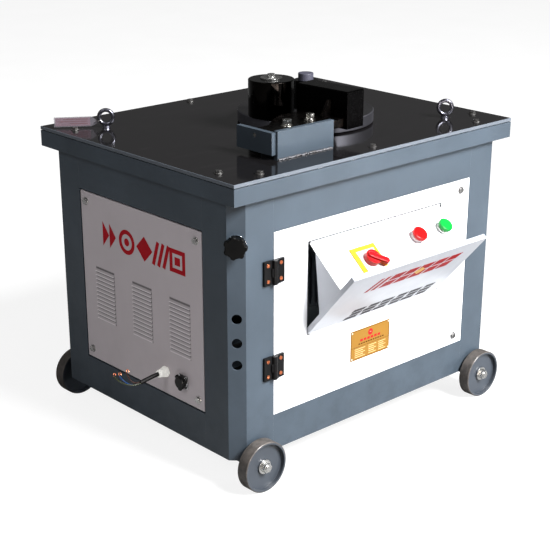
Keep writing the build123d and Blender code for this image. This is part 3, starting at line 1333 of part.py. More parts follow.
# ---------------------------------------------------------------------- door
DOOR_X, DOOR_LOW, DOOR_HIGH = 341.5, 168.5, 620.5
OPEN_X, OPEN_LOW, OPEN_HIGH = 235.0, 340.0, 576.0
TILT_Y, TILT_Z, TILT_OPEN = -352.0, 343.5, 40.6
TILT_R, TILT_PIN_R = 3.0, 1.5
door_face = Plane(origin=(0, -BODY_Y, 0), x_dir=(1, 0, 0), z_dir=(0, -1, 0))
door_mid, open_mid = (DOOR_LOW + DOOR_HIGH) / 2, (OPEN_LOW + OPEN_HIGH) / 2
TILT_KNUCKLES_DOOR = ((-225.0, -135.0), (-45.0, 45.0), (135.0, 225.0))
TILT_KNUCKLES_LID = ((-134.5, -45.5), (45.5, 134.5))
with BuildPart() as door_panel:
    with BuildSketch(door_face):
        with Locations((0, door_mid)):
            Rectangle(2 * DOOR_X, DOOR_HIGH - DOOR_LOW)
    extrude(amount=-DOOR_DEPTH)
    with BuildSketch(door_face.offset(-SHEET)):
        with Locations((0, door_mid)):
            Rectangle(2 * (DOOR_X - SHEET), DOOR_HIGH - DOOR_LOW - 2 * SHEET)
    extrude(amount=-DOOR_DEPTH, mode=Mode.SUBTRACT)
    with BuildSketch(door_face):
        with Locations((0, open_mid)):
            Rectangle(2 * (OPEN_X + SHEET), OPEN_HIGH - OPEN_LOW + 2 * SHEET)
    extrude(amount=-PANEL_DEPTH)
    with BuildSketch(door_face.offset(1)):
        with Locations((0, open_mid)):
            Rectangle(2 * OPEN_X, OPEN_HIGH - OPEN_LOW)
    extrude(amount=-2 * DOOR_DEPTH, mode=Mode.SUBTRACT)
    for low, high in TILT_KNUCKLES_DOOR:
        with BuildSketch(Plane.YZ.offset(low)):
            with Locations((TILT_Y, TILT_Z)):
                Circle(TILT_R)
            with Locations((TILT_Y - 0.4, OPEN_LOW + 0.6)):
                Rectangle(2.0, 4.0)
        extrude(amount=high - low)
    with BuildSketch(Plane.YZ.offset(TILT_KNUCKLES_DOOR[0][0])):
        with Locations((TILT_Y, TILT_Z)):
            Circle(TILT_PIN_R)
    extrude(amount=TILT_KNUCKLES_DOOR[-1][1] - TILT_KNUCKLES_DOOR[0][0])
    for z in DOOR_SCREW_Z:
        with Locations(Plane(origin=(DOOR_SCREW_X, -BODY_Y, z), z_dir=(0, -1, 0))):
            Hole(3.0 + FIT, depth=2 * SHEET)
door_panel.part.label = "door_panel"
export_step(door_panel.part, "parts/door_panel.step")

with BuildPart() as captive_screws:
    for z in DOOR_SCREW_Z:
        head = Plane(origin=(DOOR_SCREW_X, -BODY_Y, z), z_dir=(0, -1, 0))
        with BuildSketch(head):
            Circle(9.5)
        extrude(amount=1.4)
        with BuildSketch(head.offset(1.4)):
            RegularPolygon(6.5, 6, major_radius=False)
        extrude(amount=4.4)
        with BuildSketch(head):
            Circle(3.0)
        extrude(amount=-24)
door_screws = Compound(children=[captive_screws.part, hinge_screw_set(1).part])
door_screws.label = "door_screws"
export_step(door_screws, "parts/door_screws.step")

PLATE_LOW, PLATE_HIGH, PLATE_LEFT, PLATE_RIGHT = 228.0, 308.0, -85.0, 55.0
with BuildPart() as nameplate:
    with BuildSketch(door_face):
        with Locations(((PLATE_LEFT + PLATE_RIGHT) / 2, (PLATE_LOW + PLATE_HIGH) / 2)):
            Rectangle(PLATE_RIGHT - PLATE_LEFT, PLATE_HIGH - PLATE_LOW)
    extrude(amount=0.8)
    with BuildSketch(door_face.offset(0.8)):
        for x in (PLATE_LEFT + 5, PLATE_RIGHT - 5):
            for z in (PLATE_LOW + 5, PLATE_HIGH - 5):
                with Locations((x, z)):
                    Circle(2.2)
    extrude(amount=0.9, taper=20)
nameplate.part.label = "nameplate"
export_step(nameplate.part, "parts/nameplate.step")

# ------------------------------------------------------ tilting control box
# Local frame of the lid: x along the hinge, y up the lid, z out of its face.
LID_X, LID_TOP, LID_OUT, LID_DEPTH = 234.0, 231.0, 1.4, 12.0
LID_START = 3.5
DECK_UP, DECK_DEEP, DECK_X = 171.0, 148.0, 227.0
DECK_LIP = 5.0  # turned up along the rear edge of the deck
SIDE_GUSSET_LOW, SIDE_GUSSET_DEEP = 55.5, 121.0
lean = radians(TILT_OPEN)
lid_plane = Plane(
    origin=(0, TILT_Y, TILT_Z), x_dir=(1, 0, 0), z_dir=(0, -cos(lean), -sin(lean))
)
with BuildPart() as console_lid:
    lid_mid = (LID_START + LID_TOP) / 2
    with BuildSketch(lid_plane.offset(LID_OUT)):
        with Locations((0, lid_mid)):
            Rectangle(2 * LID_X, LID_TOP - LID_START)
    extrude(amount=-LID_DEPTH)
    with BuildSketch(lid_plane.offset(LID_OUT - SHEET)):
        with Locations((0, lid_mid)):
            Rectangle(2 * (LID_X - SHEET), LID_TOP - LID_START - 2 * SHEET)
    extrude(amount=-LID_DEPTH, mode=Mode.SUBTRACT)
    for low, high in TILT_KNUCKLES_LID:
        with BuildSketch(lid_plane):
            with Locations(((low + high) / 2, 2.5)):
                Rectangle(high - low, 3.0)
        extrude(amount=1.0, both=True)
    for low, high in TILT_KNUCKLES_LID:
        with BuildSketch(Plane.YZ.offset(low)):
            with Locations((TILT_Y, TILT_Z)):
                Circle(TILT_R)
        extrude(amount=high - low)
    with BuildSketch(Plane.YZ.offset(-LID_X)):
        with Locations((TILT_Y, TILT_Z)):
            Circle(TILT_PIN_R + FIT)
    extrude(amount=2 * LID_X, mode=Mode.SUBTRACT)
    for side in (-1, 1):
        # side gussets between the lid and the deck
        gusset = Plane(
            origin=lid_plane.from_local_coords(Vector(side * DECK_X, 0, 0)),
            x_dir=lid_plane.y_dir,
            z_dir=Vector(-side, 0, 0),
        )
        with BuildSketch(gusset):
            with BuildLine():
                Polyline(
                    (SIDE_GUSSET_LOW, side * (SHEET - LID_OUT)),
                    (DECK_UP - SHEET, side * (SHEET - LID_OUT)),
                    (DECK_UP - SHEET, side * SIDE_GUSSET_DEEP),
                    close=True,
                )
            make_face()
        extrude(amount=SHEET)
console_lid.part.label = "console_lid"
export_step(console_lid.part, "parts/console_lid.step")

deck_plane = Plane(
    origin=lid_plane.from_local_coords(Vector(0, DECK_UP, 0)),
    x_dir=(1, 0, 0),
    z_dir=lid_plane.y_dir,
)
# In the deck's own frame x is along the hinge and y points back into the cabinet.
SWITCH_AT, STOP_AT, START_AT = (-93.0, 60.0), (89.0, 81.0), (186.0, 83.0)
BUTTON_HOLE_R = 11.0
with BuildPart() as console_plate:
    deck_front = SHEET - LID_OUT
    with BuildSketch(deck_plane):
        with Locations((0, (DECK_DEEP + deck_front) / 2)):
            Rectangle(2 * DECK_X, DECK_DEEP - deck_front)
        with Locations(STOP_AT, START_AT):
            Circle(BUTTON_HOLE_R + FIT, mode=Mode.SUBTRACT)
        with Locations(SWITCH_AT):
            Circle(12.0, mode=Mode.SUBTRACT)
    extrude(amount=-SHEET + 0.02)
    with BuildSketch(deck_plane):
        with Locations((0, DECK_DEEP - SHEET / 2)):
            Rectangle(2 * DECK_X, SHEET)
    extrude(amount=DECK_LIP)
console_plate.part.label = "console_plate"
export_step(console_plate.part, "parts/console_plate.step")

SWITCH_SIZE, SWITCH_INNER = 82.0, 58.0
SWITCH_BASE, SWITCH_FACE = 3.0, 2.0
with BuildPart() as selector_plate:
    with BuildSketch(deck_plane):
        with Locations(SWITCH_AT):
            Rectangle(SWITCH_SIZE, SWITCH_SIZE)
    extrude(amount=SWITCH_BASE)
    with BuildSketch(deck_plane.offset(SWITCH_BASE)):
        with Locations(SWITCH_AT):
            Rectangle(SWITCH_INNER, SWITCH_INNER)
    extrude(amount=SWITCH_FACE)
    with BuildSketch(deck_plane):
        with Locations(SWITCH_AT):
            Circle(12.0 - FIT)
    extrude(amount=-6)
    with BuildSketch(deck_plane.offset(-6)):
        with Locations(SWITCH_AT):
            Rectangle(50, 50)
    extrude(amount=-38)
    with BuildSketch(deck_plane.offset(-20)):
        with Locations(SWITCH_AT):
            Circle(3.0 + FIT)
    extrude(amount=40, mode=Mode.SUBTRACT)
selector_plate.part.label = "selector_plate"
export_step(selector_plate.part, "parts/selector_plate.step")

HANDLE_LOW = SWITCH_BASE + SWITCH_FACE + 0.4
HANDLE_R, HANDLE_REACH, HANDLE_DIRECTION = 20.0, 40.0, -38.0
handle_plane = deck_plane.offset(HANDLE_LOW)
with BuildPart() as selector_handle:
    with BuildSketch(handle_plane):
        with Locations(SWITCH_AT):
            Circle(HANDLE_R)
    extrude(amount=14)
    with BuildSketch(handle_plane.offset(6)):
        with Locations(Location((SWITCH_AT[0], SWITCH_AT[1], 0), (0, 0, HANDLE_DIRECTION))):
            with Locations((HANDLE_REACH / 2 - 8, 0)):
                SlotOverall(HANDLE_REACH + 18, 16)
    extrude(amount=14)
    with BuildSketch(handle_plane):
        with Locations(SWITCH_AT):
            Circle(3.0)
    extrude(amount=-(HANDLE_LOW + 16))
    tops = selector_handle.faces().sort_by(Axis(deck_plane.origin, deck_plane.z_dir))[-1]
    fillet(tops.edges(), 2.5)
selector_handle.part.label = "selector_handle"
export_step(selector_handle.part, "parts/selector_handle.step")

BUTTON_STEM_R, BUTTON_TRAVEL = 8.0, 6.0
with BuildPart() as button_bezels:
    for spot in (STOP_AT, START_AT):
        with BuildSketch(deck_plane):
            with Locations(spot):
                Circle(15.0)
        extrude(amount=6)
        with BuildSketch(deck_plane):
            with Locations(spot):
                Circle(BUTTON_HOLE_R)
        extrude(amount=-6)
        with BuildSketch(deck_plane.offset(-6)):
            with Locations(spot):
                Rectangle(30, 40)
        extrude(amount=-34)
        with BuildSketch(deck_plane.offset(7)):
            with Locations(spot):
                Circle(BUTTON_STEM_R + FIT)
        extrude(amount=-27, mode=Mode.SUBTRACT)
button_bezels.part.label = "button_bezels"
export_step(button_bezels.part, "parts/button_bezels.step")


def push_button(spot, head_r, head_low, head_thick):
    """Push button: stem in its bezel and a domed head."""
    with BuildPart() as button:
        with BuildSketch(deck_plane.offset(-12)):
            with Locations(spot):
                Circle(BUTTON_STEM_R)
        extrude(amount=head_low + 12)
        with BuildSketch(deck_plane.offset(head_low)):
            with Locations(spot):
                Circle(head_r)
        extrude(amount=head_thick)
        top = button.faces().sort_by(Axis(deck_plane.origin, deck_plane.z_dir))[-1]
        fillet(top.edges(), 3.0)
    return button


stop_button = push_button(STOP_AT, 20.0, 13.0, 8.0)
stop_button.part.label = "stop_button"
export_step(stop_button.part, "parts/stop_button.step")
start_button = push_button(START_AT, 19.0, 13.0, 8.0)
start_button.part.label = "start_button"
export_step(start_button.part, "parts/start_button.step")
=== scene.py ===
import json
import math
import random

import bmesh
import bpy
from mathutils import Matrix, Vector


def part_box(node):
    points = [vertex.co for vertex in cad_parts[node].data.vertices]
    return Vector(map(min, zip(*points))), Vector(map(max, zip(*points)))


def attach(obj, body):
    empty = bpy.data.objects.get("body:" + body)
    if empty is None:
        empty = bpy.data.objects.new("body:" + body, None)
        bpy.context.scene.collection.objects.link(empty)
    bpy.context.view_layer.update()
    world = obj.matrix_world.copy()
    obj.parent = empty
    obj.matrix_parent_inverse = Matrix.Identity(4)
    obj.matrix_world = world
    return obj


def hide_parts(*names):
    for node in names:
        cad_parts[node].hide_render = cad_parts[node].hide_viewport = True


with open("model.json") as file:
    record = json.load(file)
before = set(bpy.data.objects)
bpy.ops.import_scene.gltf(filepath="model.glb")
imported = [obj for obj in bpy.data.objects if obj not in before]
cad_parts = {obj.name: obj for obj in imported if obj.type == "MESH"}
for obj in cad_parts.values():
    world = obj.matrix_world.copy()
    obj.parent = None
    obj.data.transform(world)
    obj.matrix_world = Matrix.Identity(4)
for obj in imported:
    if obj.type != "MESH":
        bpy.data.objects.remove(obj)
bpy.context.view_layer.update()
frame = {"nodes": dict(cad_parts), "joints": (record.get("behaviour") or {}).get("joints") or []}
nodes = frame["nodes"]
joints = {joint["name"]: joint for joint in frame["joints"]}
MM = 0.001


# ---------------------------------------------------------------- the camera
def make_camera():
    """Looks at the front left corner, a little from above."""
    azimuth, elevation = math.radians(42.358), math.radians(21.425)
    forward = Vector(
        (
            math.sin(azimuth) * math.cos(elevation),
            math.cos(azimuth) * math.cos(elevation),
            -math.sin(elevation),
        )
    )
    data = bpy.data.cameras.new("camera")
    data.lens = 85.53
    data.shift_x, data.shift_y = 0.0158, 0.0718
    data.clip_end = 60
    camera = bpy.data.objects.new("camera", data)
    camera.location = (-2.2372, -2.4064, 1.5198)
    camera.rotation_mode = "QUATERNION"
    camera.rotation_quaternion = forward.to_track_quat("-Z", "Y")
    bpy.context.scene.collection.objects.link(camera)
    bpy.context.scene.camera = camera


make_camera()


# ------------------------------------------------------------ shader helpers
def srgb(red, green, blue):
    """Linear colour of an 8-bit sRGB colour."""

    def linear(value):
        value = value / 255
        return value / 12.92 if value <= 0.04045 else ((value + 0.055) / 1.055) ** 2.4

    return (linear(red), linear(green), linear(blue), 1.0)


def tint(colour, factor):
    """A colour made lighter or darker."""
    return tuple(min(1.0, channel * factor) for channel in colour[:3]) + (1.0,)


class Graph:
    """A material with a Principled shader, and short calls to wire its nodes."""

    def __init__(self, name):
        self.material = bpy.data.materials.new(name)
        self.material.use_nodes = True
        self.tree = self.material.node_tree
        self.shader = self.tree.nodes["Principled BSDF"]
        self.place = self.node("ShaderNodeTexCoord").outputs["Object"]
        self.material.diffuse_color = (0.5, 0.5, 0.5, 1)

    def node(self, kind, settings=None, **inputs):
        node = self.tree.nodes.new(kind)
        for key, value in (settings or {}).items():
            setattr(node, key, value)
        for key, value in inputs.items():
            self.plug(node.inputs[key], value)
        return node

    def plug(self, socket, value):
        if isinstance(value, bpy.types.NodeSocket):
            self.tree.links.new(value, socket)
        else:
            socket.default_value = value

    def put(self, **inputs):
        for key, value in inputs.items():
            self.plug(self.shader.inputs[key.replace("_", " ")], value)

    def math(self, operation, first, second=0.0, third=None):
        node = self.tree.nodes.new("ShaderNodeMath")
        node.operation = operation
        self.plug(node.inputs[0], first)
        self.plug(node.inputs[1], second)
        if third is not None:
            self.plug(node.inputs[2], third)
        return node.outputs[0]

    def noise(self, scale, detail=3.0, rough=0.5, stretch=None):
        place = self.place
        if stretch:
            place = self.node("ShaderNodeMapping", Vector=place, Scale=stretch).outputs[0]
        texture = self.node("ShaderNodeTexNoise", Vector=place, Scale=scale, Detail=detail, Roughness=rough)
        return texture.outputs[0]

    def ramp(self, value, low, high, out_low=0.0, out_high=1.0):
        """Straight run from out_low at `low` to out_high at `high`, held at both ends."""
        node = self.tree.nodes.new("ShaderNodeMapRange")
        limits = {"Value": value, "From Min": low, "From Max": high, "To Min": out_low, "To Max": out_high}
        for key, item in limits.items():
            self.plug(node.inputs[key], item)
        return node.outputs[0]

    def mix(self, factor, first, second):
        """Mixes two colours, which have the sockets 6 and 7 of the node and its output 2."""
        node = self.tree.nodes.new("ShaderNodeMix")
        node.data_type = "RGBA"
        self.plug(node.inputs[0], factor)
        self.plug(node.inputs[6], first)
        self.plug(node.inputs[7], second)
        return node.outputs[2]

    def mix_value(self, factor, first, second):
        """Mixes two numbers."""
        node = self.tree.nodes.new("ShaderNodeMix")
        node.data_type = "FLOAT"
        self.plug(node.inputs[0], factor)
        self.plug(node.inputs[2], first)
        self.plug(node.inputs[3], second)
        return node.outputs[0]

    def along(self, direction, origin=(0, 0, 0)):
        """Distance in metres along a direction from a point."""
        moved = self.node("ShaderNodeVectorMath", {"operation": "SUBTRACT"})
        self.plug(moved.inputs[0], self.place)
        moved.inputs[1].default_value = origin
        dot = self.node("ShaderNodeVectorMath", {"operation": "DOT_PRODUCT"})
        self.plug(dot.inputs[0], moved.outputs[0])
        dot.inputs[1].default_value = direction
        return dot.outputs["Value"]

    def radius(self, centre, keep):
        """Distance from a point, with the axes in `keep` counted (1) or left out (0)."""
        moved = self.node("ShaderNodeVectorMath", {"operation": "SUBTRACT"})
        self.plug(moved.inputs[0], self.place)
        moved.inputs[1].default_value = centre
        scaled = self.node("ShaderNodeVectorMath", {"operation": "MULTIPLY"})
        self.plug(scaled.inputs[0], moved.outputs[0])
        scaled.inputs[1].default_value = keep
        length = self.node("ShaderNodeVectorMath", {"operation": "LENGTH"})
        self.plug(length.inputs[0], scaled.outputs[0])
        return length.outputs["Value"]

    def above(self, value, edge):
        return self.math("GREATER_THAN", value, edge)

    def below(self, value, edge):
        return self.math("LESS_THAN", value, edge)

    def split(self, vector):
        """The x, y and z of a vector."""
        return self.node("ShaderNodeSeparateXYZ", Vector=vector).outputs

    def facing_up(self):
        """How far the face looks up: 1 on a top, 0 on a wall, -1 underneath."""
        return self.split(self.node("ShaderNodeNewGeometry").outputs["True Normal"])[2]

    def base_colour(self):
        """What is wired to the shader's colour so far."""
        return self.shader.inputs["Base Color"].links[0].from_socket

    def finish_surface(self, bevel, bump, bump_height):
        """Rounded edges, and a bump on top of them. Returns how sharply the surface turns here."""
        rounded = self.node("ShaderNodeBevel", {"samples": 4}, Radius=bevel).outputs[0]
        normal = rounded
        if bump is not None:
            normal = self.node(
                "ShaderNodeBump", Height=bump, Distance=bump_height, Strength=0.6, Normal=rounded
            ).outputs[0]
        self.put(Normal=normal)
        dot = self.node("ShaderNodeVectorMath", {"operation": "DOT_PRODUCT"})
        self.plug(dot.inputs[0], rounded)
        self.plug(dot.inputs[1], self.node("ShaderNodeNewGeometry").outputs["Normal"])
        return self.ramp(dot.outputs["Value"], 0.995, 0.85)


def paint(name, colour, rough=0.35, coat=0.3, grain=900.0, grain_height=0.00004, wear=None,
          wear_amount=0.6, blotch=0.12, bevel=0.0008, grime=0.0):
    """Paint, plastic or plated finish with fine texture, uneven tone and worn edges."""
    graph = Graph(name)
    edge = graph.finish_surface(bevel, graph.noise(grain, 2.0), grain_height)
    tone = graph.noise(6.0, 4.0, 0.6)
    base = graph.mix(graph.ramp(tone, 0.3, 0.7), tint(colour, 1 - blotch), tint(colour, 1 + blotch))
    if grime:
        low = graph.ramp(graph.along((0, 0, 1)), 0.35, 0.06)
        dirt = graph.math("MULTIPLY", low, graph.ramp(graph.noise(22.0, 5.0, 0.65), 0.45, 0.75))
        base = graph.mix(graph.math("MULTIPLY", dirt, grime), base, tint(colour, 0.45))
    if wear:
        chips = graph.ramp(graph.noise(140.0, 4.0, 0.7), 0.52, 0.60)
        worn = graph.math("MULTIPLY", graph.math("MULTIPLY", edge, chips), wear_amount)
        base = graph.mix(worn, base, wear)
    spread = graph.ramp(graph.noise(18.0, 4.0, 0.6), 0.3, 0.7, rough * 0.85, min(1.0, rough * 1.2))
    graph.put(Base_Color=base, Roughness=spread, Metallic=0.0, Coat_Weight=coat, Coat_Roughness=0.12)
    return graph


METAL_EDGE = 0.0006  # radius of the rounding on the edges of metal


def metal(name, colour, rough=0.3, stretch=None, brush=300.0, brush_height=0.00003, stain=None):
    """Bare, plated or blackened metal, brushed along one way if `stretch` says so."""
    graph = Graph(name)
    brushing = graph.noise(brush, 4.0, 0.6, stretch)
    edge = graph.finish_surface(METAL_EDGE, brushing, brush_height)
    tone = graph.noise(14.0, 5.0, 0.65)
    base = graph.mix(graph.ramp(tone, 0.3, 0.7), tint(colour, 0.82), tint(colour, 1.12))
    if stain:
        spots = graph.ramp(graph.noise(60.0, 6.0, 0.7), 0.50, 0.68)
        base = graph.mix(graph.math("MULTIPLY", spots, 0.7), base, stain)
    base = graph.mix(graph.math("MULTIPLY", edge, 0.5), base, tint(colour, 1.6))
    spread = graph.ramp(brushing, 0.3, 0.7, rough * 0.75, min(1.0, rough * 1.35))
    graph.put(Base_Color=base, Roughness=spread, Metallic=1.0)
    return graph


def enamel():
    """Slate enamel of the frame."""
    graph = paint(
        "slate_enamel", srgb(60, 69, 78), 0.36, 0.1, wear=srgb(150, 155, 160), wear_amount=0.35, grime=0.5
    )
    graph.put(Specular_IOR_Level=0.28)
    return graph.material


def table_paint():
    """Near-black gloss on top, slate enamel on the edges of the plate."""
    gloss = srgb(17, 16, 17)
    graph = paint("table_gloss", gloss, 0.085, 0.0, grain=380.0, grain_height=0.000012, blotch=0.10)
    scuffs = graph.ramp(graph.noise(9.0, 8.0, 0.72, (1.0, 6.0, 1.0)), 0.56, 0.78)
    top = graph.mix(graph.math("MULTIPLY", scuffs, 0.30), gloss, srgb(44, 41, 43))
    dust = graph.ramp(graph.noise(700.0, 2.0, 0.8), 0.70, 0.78)
    top = graph.mix(graph.math("MULTIPLY", dust, 0.25), top, srgb(70, 68, 70))
    side = graph.below(graph.math("ABSOLUTE", graph.facing_up()), 0.9)
    graph.put(Base_Color=graph.mix(side, top, srgb(88, 94, 102)))
    smear = graph.ramp(graph.noise(5.0, 6.0, 0.7), 0.3, 0.75, 0.05, 0.15)
    graph.put(Roughness=graph.mix_value(side, smear, 0.35))
    return graph.material


def wheel_paint():
    """Slate web and hub, with the paint worn off the rim and the tread."""
    axle_x, axle_z = 0.4, 0.0635
    worn_from, worn_to, unevenness = 0.0625, 0.0642, 0.004
    bare = srgb(150, 148, 144)
    graph = paint("wheel_paint", srgb(51, 56, 63), 0.42, 0.2, blotch=0.15, wear=bare, wear_amount=0.5)
    spot = graph.split(graph.place)
    offset = graph.math("SUBTRACT", graph.math("ABSOLUTE", spot[0]), axle_x)
    rise = graph.math("SUBTRACT", spot[2], axle_z)
    squares = graph.math("ADD", graph.math("POWER", offset, 2.0), graph.math("POWER", rise, 2.0))
    span = graph.math("SQRT", squares)
    ragged = graph.math("ADD", span, graph.math("MULTIPLY", graph.noise(90.0, 5.0, 0.7), unevenness))
    worn = graph.ramp(ragged, worn_from, worn_to)
    patches = graph.ramp(graph.noise(40.0, 6.0, 0.7), 0.35, 0.65)
    tread = graph.mix(patches, srgb(48, 45, 43), srgb(84, 78, 74))
    graph.put(Base_Color=graph.mix(worn, graph.base_colour(), tread))
    graph.put(Roughness=graph.mix_value(worn, 0.4, 0.62))
    return graph.material


# the louvres of the left panel; those of the right panel are within 5 mm of these
LOUVRE_PITCH, LOUVRE_MID_Z, LOUVRE_COUNT = 0.0106, 0.356, 13
LOUVRE_LIP, LOUVRE_FOOT = -0.0024, 0.0040  # lower lip and upper end of the slope, from its middle
LOUVRE_BANKS_Y, LOUVRE_HALF_LENGTH = (-0.151, -0.005, 0.146), 0.0385


def side_paint():
    """Warm grey powder coat, with a painted highlight low on each louvre's slope and painted shade on the
    sheet under each lip.
    """
    graph = paint("side_panel_paint", srgb(198, 189, 193), 0.42, 0.15, grain=1300.0, grain_height=0.00006,
                  blotch=0.04, wear=srgb(224, 218, 220), wear_amount=0.9, grime=0.15)
    up = graph.facing_up()
    slope = graph.math("MULTIPLY", graph.ramp(up, 0.2, 0.4), graph.ramp(up, 0.85, 0.7))
    low = LOUVRE_MID_Z - (LOUVRE_COUNT - 1) / 2 * LOUVRE_PITCH + LOUVRE_LIP
    rows = graph.math("DIVIDE", graph.along((0, 0, 1), (0, 0, low)), LOUVRE_PITCH)
    step = graph.math("FRACT", rows)
    # painted highlight: the slope is drawn paler just above each louvre's lip
    edge = graph.math("MULTIPLY", slope, graph.ramp(step, 0.28, 0.10))
    # painted shade: the flat sheet is drawn darker towards the lip of the louvre above it
    flat = graph.below(graph.math("ABSOLUTE", up), 0.1)
    foot = (LOUVRE_FOOT - LOUVRE_LIP) / LOUVRE_PITCH
    painted_shade = graph.math("MULTIPLY", flat, graph.ramp(step, foot, 1.0, 0.5, 1.0))
    inside = graph.math("COMPARE", rows, LOUVRE_COUNT / 2, LOUVRE_COUNT / 2 + 0.2)
    sideways = graph.along((0, 1, 0))
    banks = 0.0
    for centre in LOUVRE_BANKS_Y:
        bank = graph.math("COMPARE", sideways, centre, LOUVRE_HALF_LENGTH)
        banks = graph.math("MAXIMUM", banks, bank)
    painted_shade = graph.math("MULTIPLY", painted_shade, graph.math("MULTIPLY", inside, banks))
    base = graph.mix(edge, graph.base_colour(), srgb(250, 244, 247))
    graph.put(Base_Color=graph.mix(painted_shade, base, srgb(46, 42, 44)))
    return graph.material


def door_paint(name, colour):
    """Smooth powder coat of the door and of the control box."""
    graph = paint(
        name, colour, 0.38, 0.2, grain=1500.0, grain_height=0.00005, blotch=0.02, bevel=0.0012, grime=0.05
    )
    return graph.material


def black_steel(name, rough):
    return metal(name, srgb(16, 15, 16), rough, brush=120.0, stain=srgb(10, 9, 8)).material


def roller_steel():
    """Polished and blackened, with faint marks round it."""
    stretch = (1.0, 1.0, 9.0)
    graph = metal("roller_black", srgb(22, 20, 19), 0.09, stretch, brush=60.0, brush_height=0.000004)
    return graph.material


def slide_steel():
    """Dark and oily, with brown stains."""
    stain = srgb(70, 62, 56)
    graph = metal("oiled_slide", srgb(34, 31, 30), 0.30, brush=80.0, brush_height=0.00006, stain=stain)
    return graph.material


def disc_steel():
    """Turned top with fine rings, pale rim."""
    ring_rate, rim_radius = 5200.0, 0.1725  # radians per metre, so a ring every 1.2 mm
    graph = metal("disc_steel", srgb(150, 150, 154), 0.34, brush=40.0, brush_height=0.00001)
    centre = (joints["disc_turn"]["pos_m"][0], joints["disc_turn"]["pos_m"][1], 0.0)
    away = graph.radius(centre, (1, 1, 0))
    rings = graph.math("SINE", graph.math("MULTIPLY", away, ring_rate))
    tone = graph.ramp(graph.noise(10.0, 6.0, 0.7), 0.35, 0.7)
    uneven = graph.math("ADD", graph.math("MULTIPLY", rings, 0.5), graph.noise(160.0, 3.0))
    ringed = graph.ramp(uneven, 0.0, 1.0)
    top = graph.mix(ringed, srgb(96, 96, 100), srgb(124, 124, 128))
    top = graph.mix(graph.math("MULTIPLY", tone, 0.5), top, srgb(64, 60, 58))
    on_rim = graph.above(away, rim_radius)
    graph.put(Base_Color=graph.mix(on_rim, top, srgb(126, 126, 134)))
    graph.put(Roughness=graph.mix_value(on_rim, 0.34, 0.42))
    return graph.material


def plastic(name, colour, rough=0.3, coat=0.4, grain_height=0.00003, shine=0.5):
    graph = paint(name, colour, rough, coat, grain=700.0, grain_height=grain_height, blotch=0.04)
    graph.put(Specular_IOR_Level=shine)
    return graph.material


def gland_nylon():
    """White, with a faint painted glow that makes it brighter than the light reaching it."""
    white = srgb(240, 239, 234)
    graph = paint("gland_nylon", white, 0.45, 0.1, grain=700.0, grain_height=0.00005, blotch=0.03)
    # painted glow: the gland shines a little on its own
    graph.put(Emission_Color=srgb(240, 238, 232), Emission_Strength=0.34)
    return graph.material


def two_part(graph, mask, colour, rough, metallic):
    """Gives the places where `mask` is 1 another finish."""
    inputs = graph.shader.inputs
    graph.put(Base_Color=graph.mix(mask, graph.base_colour(), colour))
    graph.put(Roughness=graph.mix_value(mask, inputs["Roughness"].links[0].from_socket, rough))
    graph.put(Metallic=graph.mix_value(mask, inputs["Metallic"].default_value, metallic))
    graph.put(Coat_Weight=graph.mix_value(mask, inputs["Coat Weight"].default_value, 0.0))
    return graph.material


def screw_finish(name, colour, rough):
    """Zinc, with copper-coloured screws at the hinges."""
    reach = 0.045
    graph = metal(name, colour, rough, brush=220.0, stain=srgb(70, 68, 66))
    hinge = joints["door_swing"]["pos_m"]
    near = graph.below(graph.radius((hinge[0], hinge[1], 0), (1, 1, 0)), reach)
    graph.put(Base_Color=graph.mix(near, graph.base_colour(), srgb(224, 136, 96)))
    return graph.material


def knob_finish():
    """Black lobes over a chrome washer and a steel stud."""
    washer_top = 0.0034
    graph = paint("knob_black", srgb(6, 6, 6), 0.4, 0.0, grain=900.0, blotch=0.05)
    graph.put(Specular_IOR_Level=0.1)
    axis = Vector(joints["knob_turn"]["axis"])
    height = graph.along(axis, joints["knob_turn"]["pos_m"])
    return two_part(graph, graph.below(height, washer_top), srgb(200, 200, 202), 0.12, 1.0)


def selector_finish():
    """Yellow base plate, pale face plate, dark switch body below the deck."""
    face_half, face_low, body_top = 0.0295, -0.0019, -0.0052
    graph = paint("selector_yellow", srgb(192, 152, 10), 0.4, 0.1, blotch=0.03)
    axis = Vector(joints["selector_turn"]["axis"])
    centre = Vector(joints["selector_turn"]["pos_m"])
    height = graph.along(axis, centre)
    sideways = graph.math("ABSOLUTE", graph.along((1, 0, 0), centre))
    endways = graph.math("ABSOLUTE", graph.along(axis.cross(Vector((1, 0, 0))), centre))
    inside = graph.below(graph.math("MAXIMUM", sideways, endways), face_half)
    face = graph.math("MULTIPLY", graph.above(height, face_low), inside)
    two_part(graph, face, srgb(204, 194, 192), 0.35, 0.0)
    body = graph.below(height, body_top)
    graph.put(Base_Color=graph.mix(body, graph.base_colour(), srgb(30, 30, 32)))
    return graph.material


def print_ink(name, colour):
    """Flat printing ink."""
    graph = paint(name, colour, 0.5, 0.0, grain=1200.0, grain_height=0.00002, blotch=0.08)
    graph.put(Specular_IOR_Level=0.12)
    return graph.material


def give(material, *names):
    """Assigns one material to every slot of these CAD nodes."""
    for name in names:
        for slot in nodes[name].material_slots:
            slot.material = material


# the frame and its covers
give(enamel(), "corner_posts", "cabinet_rails", "base_frame", "axle_beams", "apron", "stop_box")
give(table_paint(), "table_top")
give(wheel_paint(), "wheel_front_left", "wheel_front_right", "wheel_rear_left", "wheel_rear_right")
give(side_paint(), "side_panel_left", "side_panel_right", "rear_panel")
give(paint("box_paint", srgb(92, 96, 100), 0.45, 0.1).material, "electrical_box")
give(door_paint("door_powder", srgb(226, 227, 230)), "door_panel", "console_plate")
# painted shade: the lid has the same white powder as the door, drawn darker for the shade on its
# down-facing face
give(door_paint("lid_powder_painted_shade", srgb(170, 173, 180)), "console_lid")

